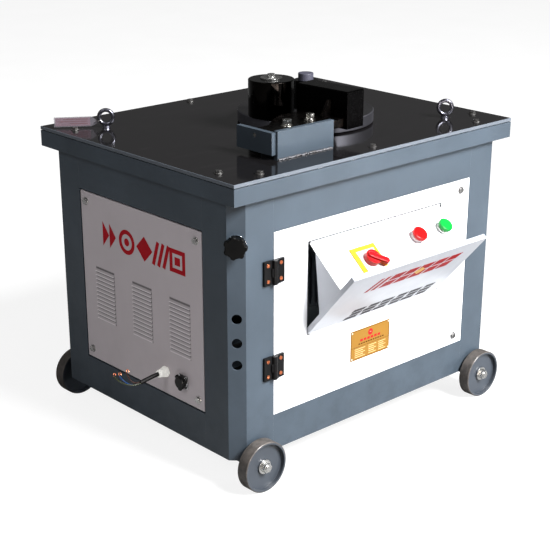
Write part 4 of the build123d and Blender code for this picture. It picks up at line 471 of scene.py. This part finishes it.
# screws, axles and bolts
bolt_stain = srgb(60, 58, 60)
screw_stain = srgb(70, 66, 62)
give(metal("zinc_plate", srgb(205, 205, 203), 0.26, brush=220.0).material, "axles", "roller_pin")
give(metal("forged_zinc", srgb(112, 112, 122), 0.3, brush=160.0, stain=bolt_stain).material, "eyebolts")
give(metal("dull_zinc", srgb(120, 119, 118), 0.42, brush=240.0, stain=screw_stain).material, "table_screws")
give(metal("stop_bolt_zinc", srgb(222, 220, 214), 0.2, brush=200.0).material, "stop_bolts")
give(screw_finish("panel_zinc", srgb(205, 205, 203), 0.26), "panel_screws")
give(screw_finish("door_zinc", srgb(132, 131, 130), 0.36), "door_screws")

# the working head
give(black_steel("black_oxide", 0.22), "mandrel_sleeve")
give(black_steel("block_black", 0.3), "stop_block")
give(paint("mandrel_blued", srgb(62, 62, 74), 0.5, 0.0, grain=300.0, blotch=0.25).material, "mandrel")
give(roller_steel(), "roller")
give(slide_steel(), "stop_slide")
give(disc_steel(), "work_disc")

# the drive
gear_steel = metal("gear_steel", srgb(140, 140, 142), 0.36, brush=150.0, stain=srgb(70, 60, 48)).material
casting = paint("painted_casting", srgb(84, 94, 100), 0.5, 0.1, grain=260.0, grain_height=0.0004).material
give(gear_steel, "spindle", "bull_gear", "countershaft", "input_shaft")
give(metal("bearing_steel", srgb(170, 170, 172), 0.2).material, "bearings")
give(casting, "motor", "gearbox_case", "gearbox_cover", "input_pulley", "motor_pulley")
give(plastic("belt_rubber", srgb(34, 34, 35), 0.7, 0.0, 0.0001), "drive_belts")

# controls, hinges, gland, socket and knob
hinge_nylon = plastic("hinge_nylon", srgb(9, 9, 10), 0.42, 0.0, 0.00006, shine=0.2)
give(plastic("switch_black", srgb(12, 12, 13), 0.42, 0.1, shine=0.25), "limit_switch", "socket_cap")
give(hinge_nylon, "hinge_frame_leaves", "hinge_door_leaves")
give(gland_nylon(), "cable_gland")
give(metal("socket_chrome", srgb(205, 205, 206), 0.12, brush=120.0).material, "socket_flange")
give(plastic("bezel_pale", srgb(226, 224, 220), 0.3), "button_bezels")
give(plastic("handle_red", srgb(158, 8, 16), 0.3, 0.25, shine=0.3), "selector_handle")
give(plastic("button_red", srgb(168, 10, 12), 0.3, 0.1, shine=0.2), "stop_button")
give(plastic("button_green", srgb(12, 132, 50), 0.3, 0.1, shine=0.2), "start_button")
give(knob_finish(), "star_knob")
give(selector_finish(), "selector_plate")


# ------------------------------------------------------------- mesh helpers
def link_piece(name, mesh, body, material, smooth=True):
    """Makes a mesh into a piece that rides on a body."""
    piece = bpy.data.objects.new(name, mesh)
    bpy.context.scene.collection.objects.link(piece)
    mesh.materials.append(material)
    for polygon in mesh.polygons:
        polygon.use_smooth = smooth
    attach(piece, body)
    return piece


def piece_from(name, build, body, material, smooth=True):
    """Runs build(bm) and makes its mesh into a piece."""
    bm = bmesh.new()
    build(bm)
    bmesh.ops.recalc_face_normals(bm, faces=bm.faces)
    mesh = bpy.data.meshes.new(name)
    bm.to_mesh(mesh)
    bm.free()
    return link_piece(name, mesh, body, material, smooth)


def frame_matrix(origin, across, up):
    """Matrix of a plane: local x along `across`, y along `up`, z out of it."""
    x = Vector(across).normalized()
    z = x.cross(Vector(up)).normalized()
    y = z.cross(x)
    matrix = Matrix((x, y, z)).transposed().to_4x4()
    matrix.translation = Vector(origin)
    return matrix


def add_prism(bm, outline, low, high, matrix):
    """Solid between two heights on an outline, in the plane of `matrix`."""
    bottom = [bm.verts.new(matrix @ Vector((x, y, low))) for x, y in outline]
    top = [bm.verts.new(matrix @ Vector((x, y, high))) for x, y in outline]
    count = len(outline)
    bm.faces.new(top)
    bm.faces.new(list(reversed(bottom)))
    for i in range(count):
        j = (i + 1) % count
        bm.faces.new((bottom[i], bottom[j], top[j], top[i]))


def add_torus(bm, matrix, major, minor):
    """Ring of round wire in the plane of `matrix`."""
    steps, around = 64, 16
    grid = []
    for step in range(steps):
        turn = 2 * math.pi * step / steps
        ring = []
        for part in range(around):
            angle = 2 * math.pi * part / around
            reach = major + minor * math.cos(angle)
            spot = Vector((reach * math.cos(turn), reach * math.sin(turn), minor * math.sin(angle)))
            ring.append(bm.verts.new(matrix @ spot))
        grid.append(ring)
    for step in range(steps):
        for part in range(around):
            a, b = grid[step], grid[(step + 1) % steps]
            after = (part + 1) % around
            bm.faces.new((a[part], a[after], b[after], b[part]))


def add_frame(bm, outer, inner, low, high, matrix):
    """Flat ring between two outlines with as many points each."""
    loops = []
    for outline, height in ((outer, low), (outer, high), (inner, high), (inner, low)):
        loops.append([bm.verts.new(matrix @ Vector((x, y, height))) for x, y in outline])
    count = len(outer)
    for first, second in zip(loops, loops[1:] + loops[:1]):
        for i in range(count):
            j = (i + 1) % count
            bm.faces.new((first[i], first[j], second[j], second[i]))


def polygon(centre_x, centre_y, radius, count, start=0.0):
    """Corners of a regular polygon."""
    turns = [start + 2 * math.pi * step / count for step in range(count)]
    return [(centre_x + radius * math.cos(turn), centre_y + radius * math.sin(turn)) for turn in turns]


def rectangle(left, right, low, high, slant=0.0):
    """Outline of a rectangle or, with a slant, of a parallelogram."""
    return [(left, low), (right, low), (right + slant, high), (left + slant, high)]


def add_weld(bm, start, end, size, seed):
    """Weld bead: overlapping, uneven scales along a line."""
    source = random.Random(seed)
    start, end = Vector(start), Vector(end)
    count = max(3, int((end - start).length / (size * 0.55)))
    for step in range(count):
        spot = start.lerp(end, (step + 0.5) / count)
        scale = size * source.uniform(0.8, 1.15)
        jitter = Vector([source.uniform(-0.12, 0.12) * size for _ in range(3)])
        matrix = Matrix.Translation(spot + jitter) @ Matrix.Diagonal((scale, scale, scale * 0.8, 1))
        bmesh.ops.create_icosphere(bm, subdivisions=2, radius=0.55, matrix=matrix)


# --------------------------------------------------------- cable and its ends
PANEL_X = -0.456  # outer face of the left panel
GLAND = Vector((PANEL_X, -0.092, 0.2295))
SHEATH_RADIUS, CORE_RADIUS, STRAND_RADIUS = 0.00525, 0.0016, 0.0006
# the sheath starts at the bottom of the bore in the gland, and these are its control points
SHEATH_START = GLAND + Vector((-0.0105, 0, 0))
SHEATH_ROUTE = [
    SHEATH_START,
    SHEATH_START + Vector((-0.017, 0, 0)),
    SHEATH_START + Vector((-0.0339, 0.001, -0.0021)),
    SHEATH_START + Vector((-0.0485, 0.004, -0.0062)),
    SHEATH_START + Vector((-0.0623, 0.008, -0.0107)),
]
SHEATH_END = SHEATH_ROUTE[-1]
SHEATH_WAY = (SHEATH_ROUTE[-1] - SHEATH_ROUTE[-2]).normalized()
SHEATH_SIDE = Vector((0, 0, 1)).cross(SHEATH_WAY).normalized()
SHEATH_UP = SHEATH_WAY.cross(SHEATH_SIDE)
CORE_STRAIGHT = 0.007  # each core's first run, straight out of the sheath
# per core: its start across and up in the end of the sheath, then points from that end, both in
# millimetres; its length in metres; its colour
CORES = {
    "core_brown": (
        (-1.8, 1.7),
        ((-12.5, 9.5, -0.8), (-15.5, 19, 3.2), (-15, 28.5, 9), (-13, 37.5, 15.5)),
        0.0480,
        srgb(56, 28, 20),
    ),
    "core_blue": (
        (-1.5, -2.0),
        ((-15, 6, -4.6), (-23, 14, -3.2), (-28, 24, 1), (-30, 34.5, 6), (-29.5, 44.5, 11)),
        0.0629,
        srgb(12, 56, 108),
    ),
    "core_earth": (
        (2.3, -0.2),
        (
            (-16.5, 2.5, -2.6),
            (-27, 8, -1.4),
            (-35.5, 17, 1),
            (-40.5, 28, 4),
            (-42.5, 39.5, 7.5),
            (-42, 49, 11.5),
        ),
        0.0760,
        srgb(16, 38, 26),
    ),
}


def cord_curve(name, points, radius, body, material):
    """Smooth cord through its route's control points."""
    curve = bpy.data.curves.new(name, "CURVE")
    curve.dimensions = "3D"
    curve.bevel_depth = radius
    curve.bevel_resolution = 6
    curve.resolution_u = 16
    curve.use_fill_caps = True
    spline = curve.splines.new("NURBS")
    spline.points.add(len(points) - 1)
    for item, point in zip(spline.points, points):
        item.co = (*point, 1)
    spline.order_u = 3
    spline.use_endpoint_u = True
    curve.materials.append(material)
    piece = bpy.data.objects.new(name, curve)
    bpy.context.scene.collection.objects.link(piece)
    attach(piece, body)
    return piece


def core_finish(name, colour):
    """Plain insulation, with yellow stripes on the earth core."""
    graph = paint(name + "_pvc", colour, 0.35, 0.3, blotch=0.05)
    if name == "core_earth":
        waves = graph.math("SINE", graph.math("MULTIPLY", graph.along((0.3, 0.2, 1.0)), 2600.0))
        stripe = graph.above(waves, 0.35)
        graph.put(Base_Color=graph.mix(stripe, graph.base_colour(), srgb(66, 62, 24)))
    return graph.material


def strand_curl(tip, way, side):
    """Points of a bare strand that leaves the tip of a core and curls back."""
    up = Vector((0, 0, 1))
    return [
        tip - way * 0.002,
        tip + way * 0.004,
        tip + way * 0.007 + side * 0.003 + up * 0.003,
        tip + way * 0.004 + side * 0.006 + up * 0.005,
        tip + side * 0.005 + up * 0.002,
    ]


def make_cable():
    """Short cable out of the gland, with three bare-ended cores."""
    rubber = plastic("sheath_rubber", srgb(17, 16, 17), 0.5, 0.0, 0.0001, shine=0.25)
    sheath = cord_curve("cable_sheath_visual", SHEATH_ROUTE, SHEATH_RADIUS, "root", rubber)
    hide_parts("cable_sheath")
    copper = metal("copper_strands", srgb(222, 146, 112), 0.3, brush=500.0).material
    for index, (name, (seat, steps, length, colour)) in enumerate(CORES.items()):
        start = SHEATH_END + SHEATH_WAY * 0.00002 + SHEATH_SIDE * seat[0] * MM + SHEATH_UP * seat[1] * MM
        points = [start, start + SHEATH_WAY * CORE_STRAIGHT]
        points += [SHEATH_END + Vector(step) * MM for step in steps]
        core = cord_curve(name + "_visual", points, CORE_RADIUS, "root", core_finish(name, colour))
        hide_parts(name)
        tip, way = points[-1], (points[-1] - points[-2]).normalized()
        side = way.cross(Vector((0, 0, 1))).normalized()
        for strand in range(3):
            angle = 2 * math.pi * strand / 3 + index
            shift = STRAND_RADIUS * (side * math.cos(angle) + Vector((0, 0, math.sin(angle))))
            curl = enumerate(strand_curl(tip, way, side))
            line = [point + shift * (1 + 0.3 * step) for step, point in curl]
            cord_curve(f"{name}_strand_{strand + 1}", line, STRAND_RADIUS, "root", copper)


make_cable()


# ---------------------------------------------------------------- light, floor
def area_light(name, place, target, size, power, colour=(1, 1, 1), size_y=None):
    """Rectangular light that faces its target and that the camera can't see."""
    data = bpy.data.lights.new(name, "AREA")
    data.shape = "RECTANGLE"
    data.size = size
    data.size_y = size_y or size
    data.energy = power
    data.color = colour
    light = bpy.data.objects.new(name, data)
    light.location = place
    light.visible_camera = False
    light.rotation_mode = "QUATERNION"
    light.rotation_quaternion = (Vector(target) - Vector(place)).to_track_quat("-Z", "Y")
    bpy.context.scene.collection.objects.link(light)
    return light


def make_floor():
    """Floor that looks white from the camera and dim in reflections.

    A patch of it is black: painted shadow, which also keeps bright floor from showing through the
    cabinet's gaps. The patch lies under the rear half of the cabinet and ends about 80 mm behind it.
    """
    half, glow = 30.0, 0.85
    dark_x, light_x = 0.26, 0.31
    middle_y, dark_y, light_y = 0.135, 0.245, 0.30
    graph = Graph("floor_white")
    speck = graph.ramp(graph.noise(3.0, 3.0), 0.3, 0.7)
    base = graph.mix(speck, (0.20, 0.20, 0.20, 1), (0.23, 0.23, 0.23, 1))
    spot = graph.split(graph.place)
    from_middle = graph.math("ABSOLUTE", graph.math("SUBTRACT", spot[1], middle_y))
    beside = graph.ramp(graph.math("ABSOLUTE", spot[0]), dark_x, light_x)
    before = graph.ramp(from_middle, dark_y, light_y)
    outside_painted_shadow = graph.math("MAXIMUM", beside, before)
    # painted shadow: black base colour and no glow inside the patch
    graph.put(Base_Color=graph.mix(outside_painted_shadow, (0.01, 0.01, 0.01, 1), base), Roughness=0.75)
    lit = graph.math("MULTIPLY", graph.node("ShaderNodeLightPath").outputs["Is Camera Ray"], outside_painted_shadow)
    graph.put(Emission_Color=(1, 1, 1, 1), Emission_Strength=graph.math("MULTIPLY", lit, glow))
    mesh = bpy.data.meshes.new("floor")
    corners = [(-half, -half, 0), (half, -half, 0), (half, half, 0), (-half, half, 0)]
    mesh.from_pydata(corners, [], [(0, 1, 2, 3)])
    floor = bpy.data.objects.new("floor", mesh)
    mesh.materials.append(graph.material)
    bpy.context.scene.collection.objects.link(floor)


def make_world():
    """Surround that is white to the camera and dim to everything else."""
    white, dim = 1.0, 0.085
    world = bpy.data.worlds.new("studio")
    world.use_nodes = True
    bpy.context.scene.world = world
    tree = world.node_tree
    background = tree.nodes["Background"]
    background.inputs["Color"].default_value = (1, 1, 1, 1)
    path = tree.nodes.new("ShaderNodeLightPath")
    seen = tree.nodes.new("ShaderNodeMix")
    seen.data_type = "FLOAT"
    seen.inputs[2].default_value = dim
    seen.inputs[3].default_value = white
    tree.links.new(path.outputs["Is Camera Ray"], seen.inputs[0])
    tree.links.new(seen.outputs[0], background.inputs["Strength"])


def make_lights():
    """Key light from high in front, a low one for the right post, and weak ones for the rest."""
    area_light("key", (0.8, -4.3, 4.2), (0, -0.2, 0.45), 2.0, 1180)
    low = area_light("low_right", (1.9, -2.5, 0.3), (0.3, -0.36, 0.2), 0.7, 80)
    low.visible_glossy = False
    warm = (1.0, 0.9, 0.82)
    glint = area_light("roller_glint", (-0.69, -1.41, 0.525), (-0.1, -0.14, 0.84), 0.9, 7.5, warm, 0.09)
    glint.visible_diffuse = False
    area_light("fill_left", (-3.4, -0.3, 3.0), (-0.3, 0, 0.4), 1.2, 30)
    area_light("top", (0.4, 1.2, 4.2), (0, 0, 0.7), 2.0, 10)
    area_light("strip", (-1.6, -3.6, 1.5), (-0.1, 0, 0.8), 0.25, 5, size_y=1.2)


make_floor()
make_world()
make_lights()
bpy.context.scene.view_settings.view_transform = "Standard"


# ------------------------------------------------------------- printed marks
def make_side_marks():
    """Row of red shapes on the left panel, which stands in for the print on the real one."""
    ink = print_ink("ink_red", srgb(176, 12, 28))
    row_z, half, stroke = 0.5245, 0.0315, 0.011
    sink, proud = -0.0002, 0.0003
    plane = frame_matrix((PANEL_X, 0, row_z), (0, -1, 0), (0, 0, 1))

    def bar(bm, x, width, height, turn=0.0):
        matrix = plane @ Matrix.Translation((x, 0, 0)) @ Matrix.Rotation(turn, 4, "Z")
        add_prism(bm, rectangle(-width / 2, width / 2, -height / 2, height / 2), sink, proud, matrix)

    def ring(bm, x, outer, count, start=0.0):
        """Closed frame of `count` straight strokes; 32 of them look round."""
        inner = outer - stroke / math.cos(math.pi / count)
        outlines = [polygon(x, 0, radius, count, start) for radius in (outer, inner)]
        add_frame(bm, *outlines, sink, proud, plane)

    def build(bm):
        """Two arrows, a ring with a dot, a diamond, three slanted bars, a square in a frame."""
        ring_x, diamond_x, bars_x, frame_x = -0.050, 0.020, 0.084, 0.146
        for tip in (-0.122, -0.094):
            arrow = [(tip, 0), (tip - 0.026, half), (tip - 0.026, -half)]
            add_prism(bm, arrow, sink, proud, plane)
        ring(bm, ring_x, half, 32)
        add_prism(bm, polygon(ring_x, 0, 0.010, 24), sink, proud, plane)
        add_prism(bm, polygon(diamond_x, 0, half, 4), sink, proud, plane)
        for step in (-1, 0, 1):
            bar(bm, bars_x + step * 0.020, stroke, 2 * half, -0.32)
        ring(bm, frame_x, half * 1.3, 4, math.pi / 4)
        bar(bm, frame_x, 0.020, 0.020)

    piece_from("panel_marks", build, "root", ink, smooth=False)


def lid_matrix():
    """Plane of the lid's outer face: x along its hinge, y up the lid."""
    face_height = 0.0014
    joint = joints["console_tilt"]
    lean = math.radians(joint["range_deg"][1])
    up = Vector((0, -math.sin(lean), math.cos(lean)))
    matrix = frame_matrix(joint["pos_m"], (1, 0, 0), up)
    return matrix @ Matrix.Translation((0, 0, face_height))


def make_lid_marks():
    """Band of slanted red bars, three rows of grey ones and a gold diamond, on the tilting lid."""
    plane = lid_matrix()
    sink, proud = -0.0002, 0.00025
    red = print_ink("ink_lid_red", srgb(142, 6, 14))
    grey = print_ink("ink_lid_grey", srgb(52, 52, 55))
    gold = print_ink("ink_lid_gold", srgb(186, 150, 84))

    def red_row(bm):
        """Two narrow bars, then wider ones that are each cut in two."""
        left, right, low, high, lean = -0.142, 0.152, 0.142, 0.190, 0.028
        widths = (0.014, 0.018, 0.042, 0.042, 0.046, 0.042, 0.042)
        gap = ((right - left) - sum(widths)) / (len(widths) - 1)
        x = left
        for index, width in enumerate(widths):
            if index < 2:
                add_prism(bm, rectangle(x, x + width * 0.8, low, high, lean), sink, proud, plane)
            else:
                for share_low, share_high in ((0.0, 0.45), (0.55, 1.0)):
                    y_low, y_high = (low + share * (high - low) for share in (share_low, share_high))
                    start = x + lean * share_low
                    slant = lean * (share_high - share_low)
                    shape = rectangle(start, start + width, y_low, y_high, slant)
                    add_prism(bm, shape, sink, proud, plane)
            x += width + gap

    def grey_row(bm):
        left, right, low, high, count = -0.122, 0.182, 0.010, 0.056, 6
        pitch = (right - left) / count
        for index in range(count):
            x = left + index * pitch
            for level in range(3):
                y = low + level * (high - low) / 3
                lean = 0.014 * level / 3
                short = 0.007 if (index + level) % 2 else 0.0
                shape = rectangle(x + lean + short, x + lean + pitch * 0.86, y, y + 0.0118, 0.004)
                add_prism(bm, shape, sink, proud, plane)

    def gold_spot(bm):
        matrix = plane @ Matrix.Translation((0.036, 0.166, 0))
        add_prism(bm, [(0.020, 0), (0, 0.015), (-0.020, 0), (0, -0.015)], sink, proud + 0.00008, matrix)

    piece_from("lid_marks_red", red_row, "console", red, smooth=False)
    piece_from("lid_marks_grey", grey_row, "console", grey, smooth=False)
    piece_from("lid_mark_gold", gold_spot, "console", gold, smooth=False)


def make_nameplate():
    """Foil plate with a border, a red disc and rows of plain dashes."""
    low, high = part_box("nameplate")
    door_face_y, foil_thickness, stud_from = -0.3534, 0.0008, 0.0003
    surface_y = door_face_y - foil_thickness
    plane = frame_matrix(((low.x + high.x) / 2, surface_y, (low.z + high.z) / 2), (1, 0, 0), (0, 0, 1))
    half_x, half_z = (high.x - low.x) / 2, (high.z - low.z) / 2
    graph = paint("nameplate_foil", srgb(126, 88, 15), 0.35, 0.3, blotch=0.05)
    studs = graph.above(graph.along((0, -1, 0), (0, surface_y, 0)), stud_from)
    two_part(graph, studs, srgb(206, 196, 180), 0.3, 0.0)
    give(graph.material, "nameplate")
    brown = print_ink("ink_brown", srgb(66, 36, 12))
    red = print_ink("ink_plate_red", srgb(150, 24, 30))
    pale = print_ink("ink_plate_pale", srgb(198, 164, 116))
    sink, proud = -0.0001, 0.00018

    def patch(bm, left, right, bottom, top, height=proud):
        add_prism(bm, rectangle(left, right, bottom, top), sink, height, plane)

    def border(bm):
        """Frame round the edge, a line across and a row of dashes above it."""
        inset, half_line = 0.0022, 0.00045
        reach_x, reach_z = half_x - inset, half_z - inset
        for sign in (-1, 1):
            edge_x, edge_z = sign * reach_x, sign * reach_z
            patch(bm, edge_x - half_line, edge_x + half_line, -reach_z, reach_z)
            patch(bm, -reach_x, reach_x, edge_z - half_line, edge_z + half_line)
        patch(bm, -reach_x, reach_x, -0.0062, -0.0055)
        for step in range(11):
            x = -0.042 + step * 0.0085
            patch(bm, x, x + 0.006, -0.0008, 0.0022)

    def red_marks(bm):
        add_prism(bm, polygon(0, 0.024, 0.0085, 24), sink, proud, plane)
        for step in range(6):
            x = -0.036 + step * 0.0125
            patch(bm, x, x + 0.009, 0.0065, 0.0125)

    def pale_rows(bm):
        """Three columns of dashes, and one dash on the red disc."""
        for row in range(5):
            z = -0.0125 - row * 0.0052
            for left, right in ((-0.055, -0.018), (-0.006, 0.022), (0.030, 0.056)):
                reach = right - (0.007 if row % 2 else 0.0)
                patch(bm, left, reach, z, z + 0.0018)
        patch(bm, -0.003, 0.003, 0.0234, 0.0246, proud + 0.0001)

    piece_from("nameplate_border", border, "door", brown, smooth=False)
    piece_from("nameplate_red", red_marks, "door", red, smooth=False)
    piece_from("nameplate_rows", pale_rows, "door", pale, smooth=False)


make_side_marks()
make_lid_marks()
make_nameplate()


# --------------------------------------------------------------- weld beads
def make_welds():
    """A bead at the foot of the stop box, and tacks between the table and its apron."""
    bead = metal("weld_bead", srgb(96, 96, 99), 0.5, brush=400.0, stain=srgb(60, 52, 48)).material
    box_low, box_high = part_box("stop_box")
    bead_y = box_low.y - 0.0006
    bead_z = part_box("table_top")[1].z + 0.001

    def stop_bead(bm):
        start = (box_low.x + 0.0145, bead_y, bead_z)
        end = (box_high.x - 0.006, bead_y, bead_z)
        add_weld(bm, start, end, 0.0075, 3)

    piece_from("stop_box_weld", stop_bead, "root", bead)

    low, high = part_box("apron")
    tack_z = high.z - 0.001
    inset, half, size = 0.0045, 0.008, 0.0035

    def tacks(bm):
        """Nine tacks along each long side, seven along each short one; the last number is the seed."""
        for step in range(9):
            x = low.x * (1 - (step + 0.5) / 4.5)
            for side in (-1, 1):
                y = side * (high.y - inset)
                add_weld(bm, (x - half, y, tack_z), (x + half, y, tack_z), size, step)
        for step in range(7):
            y = low.y * (1 - (step + 0.5) / 3.5)
            for side in (-1, 1):
                x = side * (high.x - inset)
                add_weld(bm, (x, y - half, tack_z), (x, y + half, tack_z), size, 20 + step)

    bright = metal("tack_bead", srgb(205, 205, 208), 0.3, brush=400.0).material
    piece_from("table_tacks", tacks, "root", bright)


make_welds()


# ----------------------------------------------------------------- hang tag
def make_tag():
    """Card in a clear sleeve, tied to the left eyebolt with a wire ring."""
    up = Vector((0, 0, 1))
    eye = Vector((-0.362, 0.2455, 0.786))
    ring_radius, wire_radius = 0.0085, 0.0009
    facing = Vector((0.674, 0.739, 0.0)).normalized()
    spoke = Vector((facing.y, -facing.x, 0))
    tie = math.radians(205)
    out = spoke * math.cos(tie) + up * math.sin(tie)
    centre = eye + out * 0.020
    hole = centre + out * ring_radius
    wire = metal("tie_wire", srgb(170, 168, 165), 0.25).material

    def ring(bm):
        add_torus(bm, frame_matrix(centre, out, facing), ring_radius, wire_radius)

    tie_ring = piece_from("tag_tie", ring, "root", wire)
    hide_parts("hang_tag")

    lengthways = Vector((-0.80, 0.60, -0.012))
    plane = frame_matrix(hole, lengthways, Vector((0.60, 0.80, 0)).cross(lengthways))
    left, shoulder, right, low, high, neck = -0.0036, 0.012, 0.104, -0.011, 0.014, 0.0036
    outline = [(left, -neck), (shoulder, low), (right, low), (right, high), (shoulder, high), (left, neck)]
    sleeve = Graph("tag_sleeve")
    clouds = sleeve.ramp(sleeve.noise(60.0, 3.0), 0.3, 0.7, 0.10, 0.24)
    sleeve.put(Base_Color=(0.16, 0.15, 0.17, 1), Roughness=clouds, Alpha=0.28, Coat_Weight=0.2)
    card = paint("tag_card", srgb(122, 80, 96), 0.6, 0.0, blotch=0.05)

    def both_sides(bm, shape, offset, half_thickness):
        """One thin solid on each side of the middle of the tag."""
        for side in (-1, 1):
            middle = side * offset
            add_prism(bm, shape, middle - half_thickness, middle + half_thickness, plane)

    def sheet(bm):
        both_sides(bm, outline, 0.0006, 0.00008)

    def label(bm):
        add_prism(bm, rectangle(0.014, 0.101, -0.009, 0.012), -0.00012, 0.00012, plane)

    def lines(bm):
        for row, (start, end) in enumerate(((0.020, 0.080), (0.022, 0.095), (0.020, 0.064))):
            y = 0.0065 - row * 0.0055
            both_sides(bm, rectangle(start, end, y, y + 0.0024), 0.0002, 0.00006)

    ink = print_ink("ink_tag", srgb(104, 10, 24))
    piece_from("tag_sleeve", sheet, "root", sleeve.material, smooth=False)
    piece_from("tag_card", label, "root", card.material, smooth=False)
    piece_from("tag_lines", lines, "root", ink, smooth=False)


make_tag()
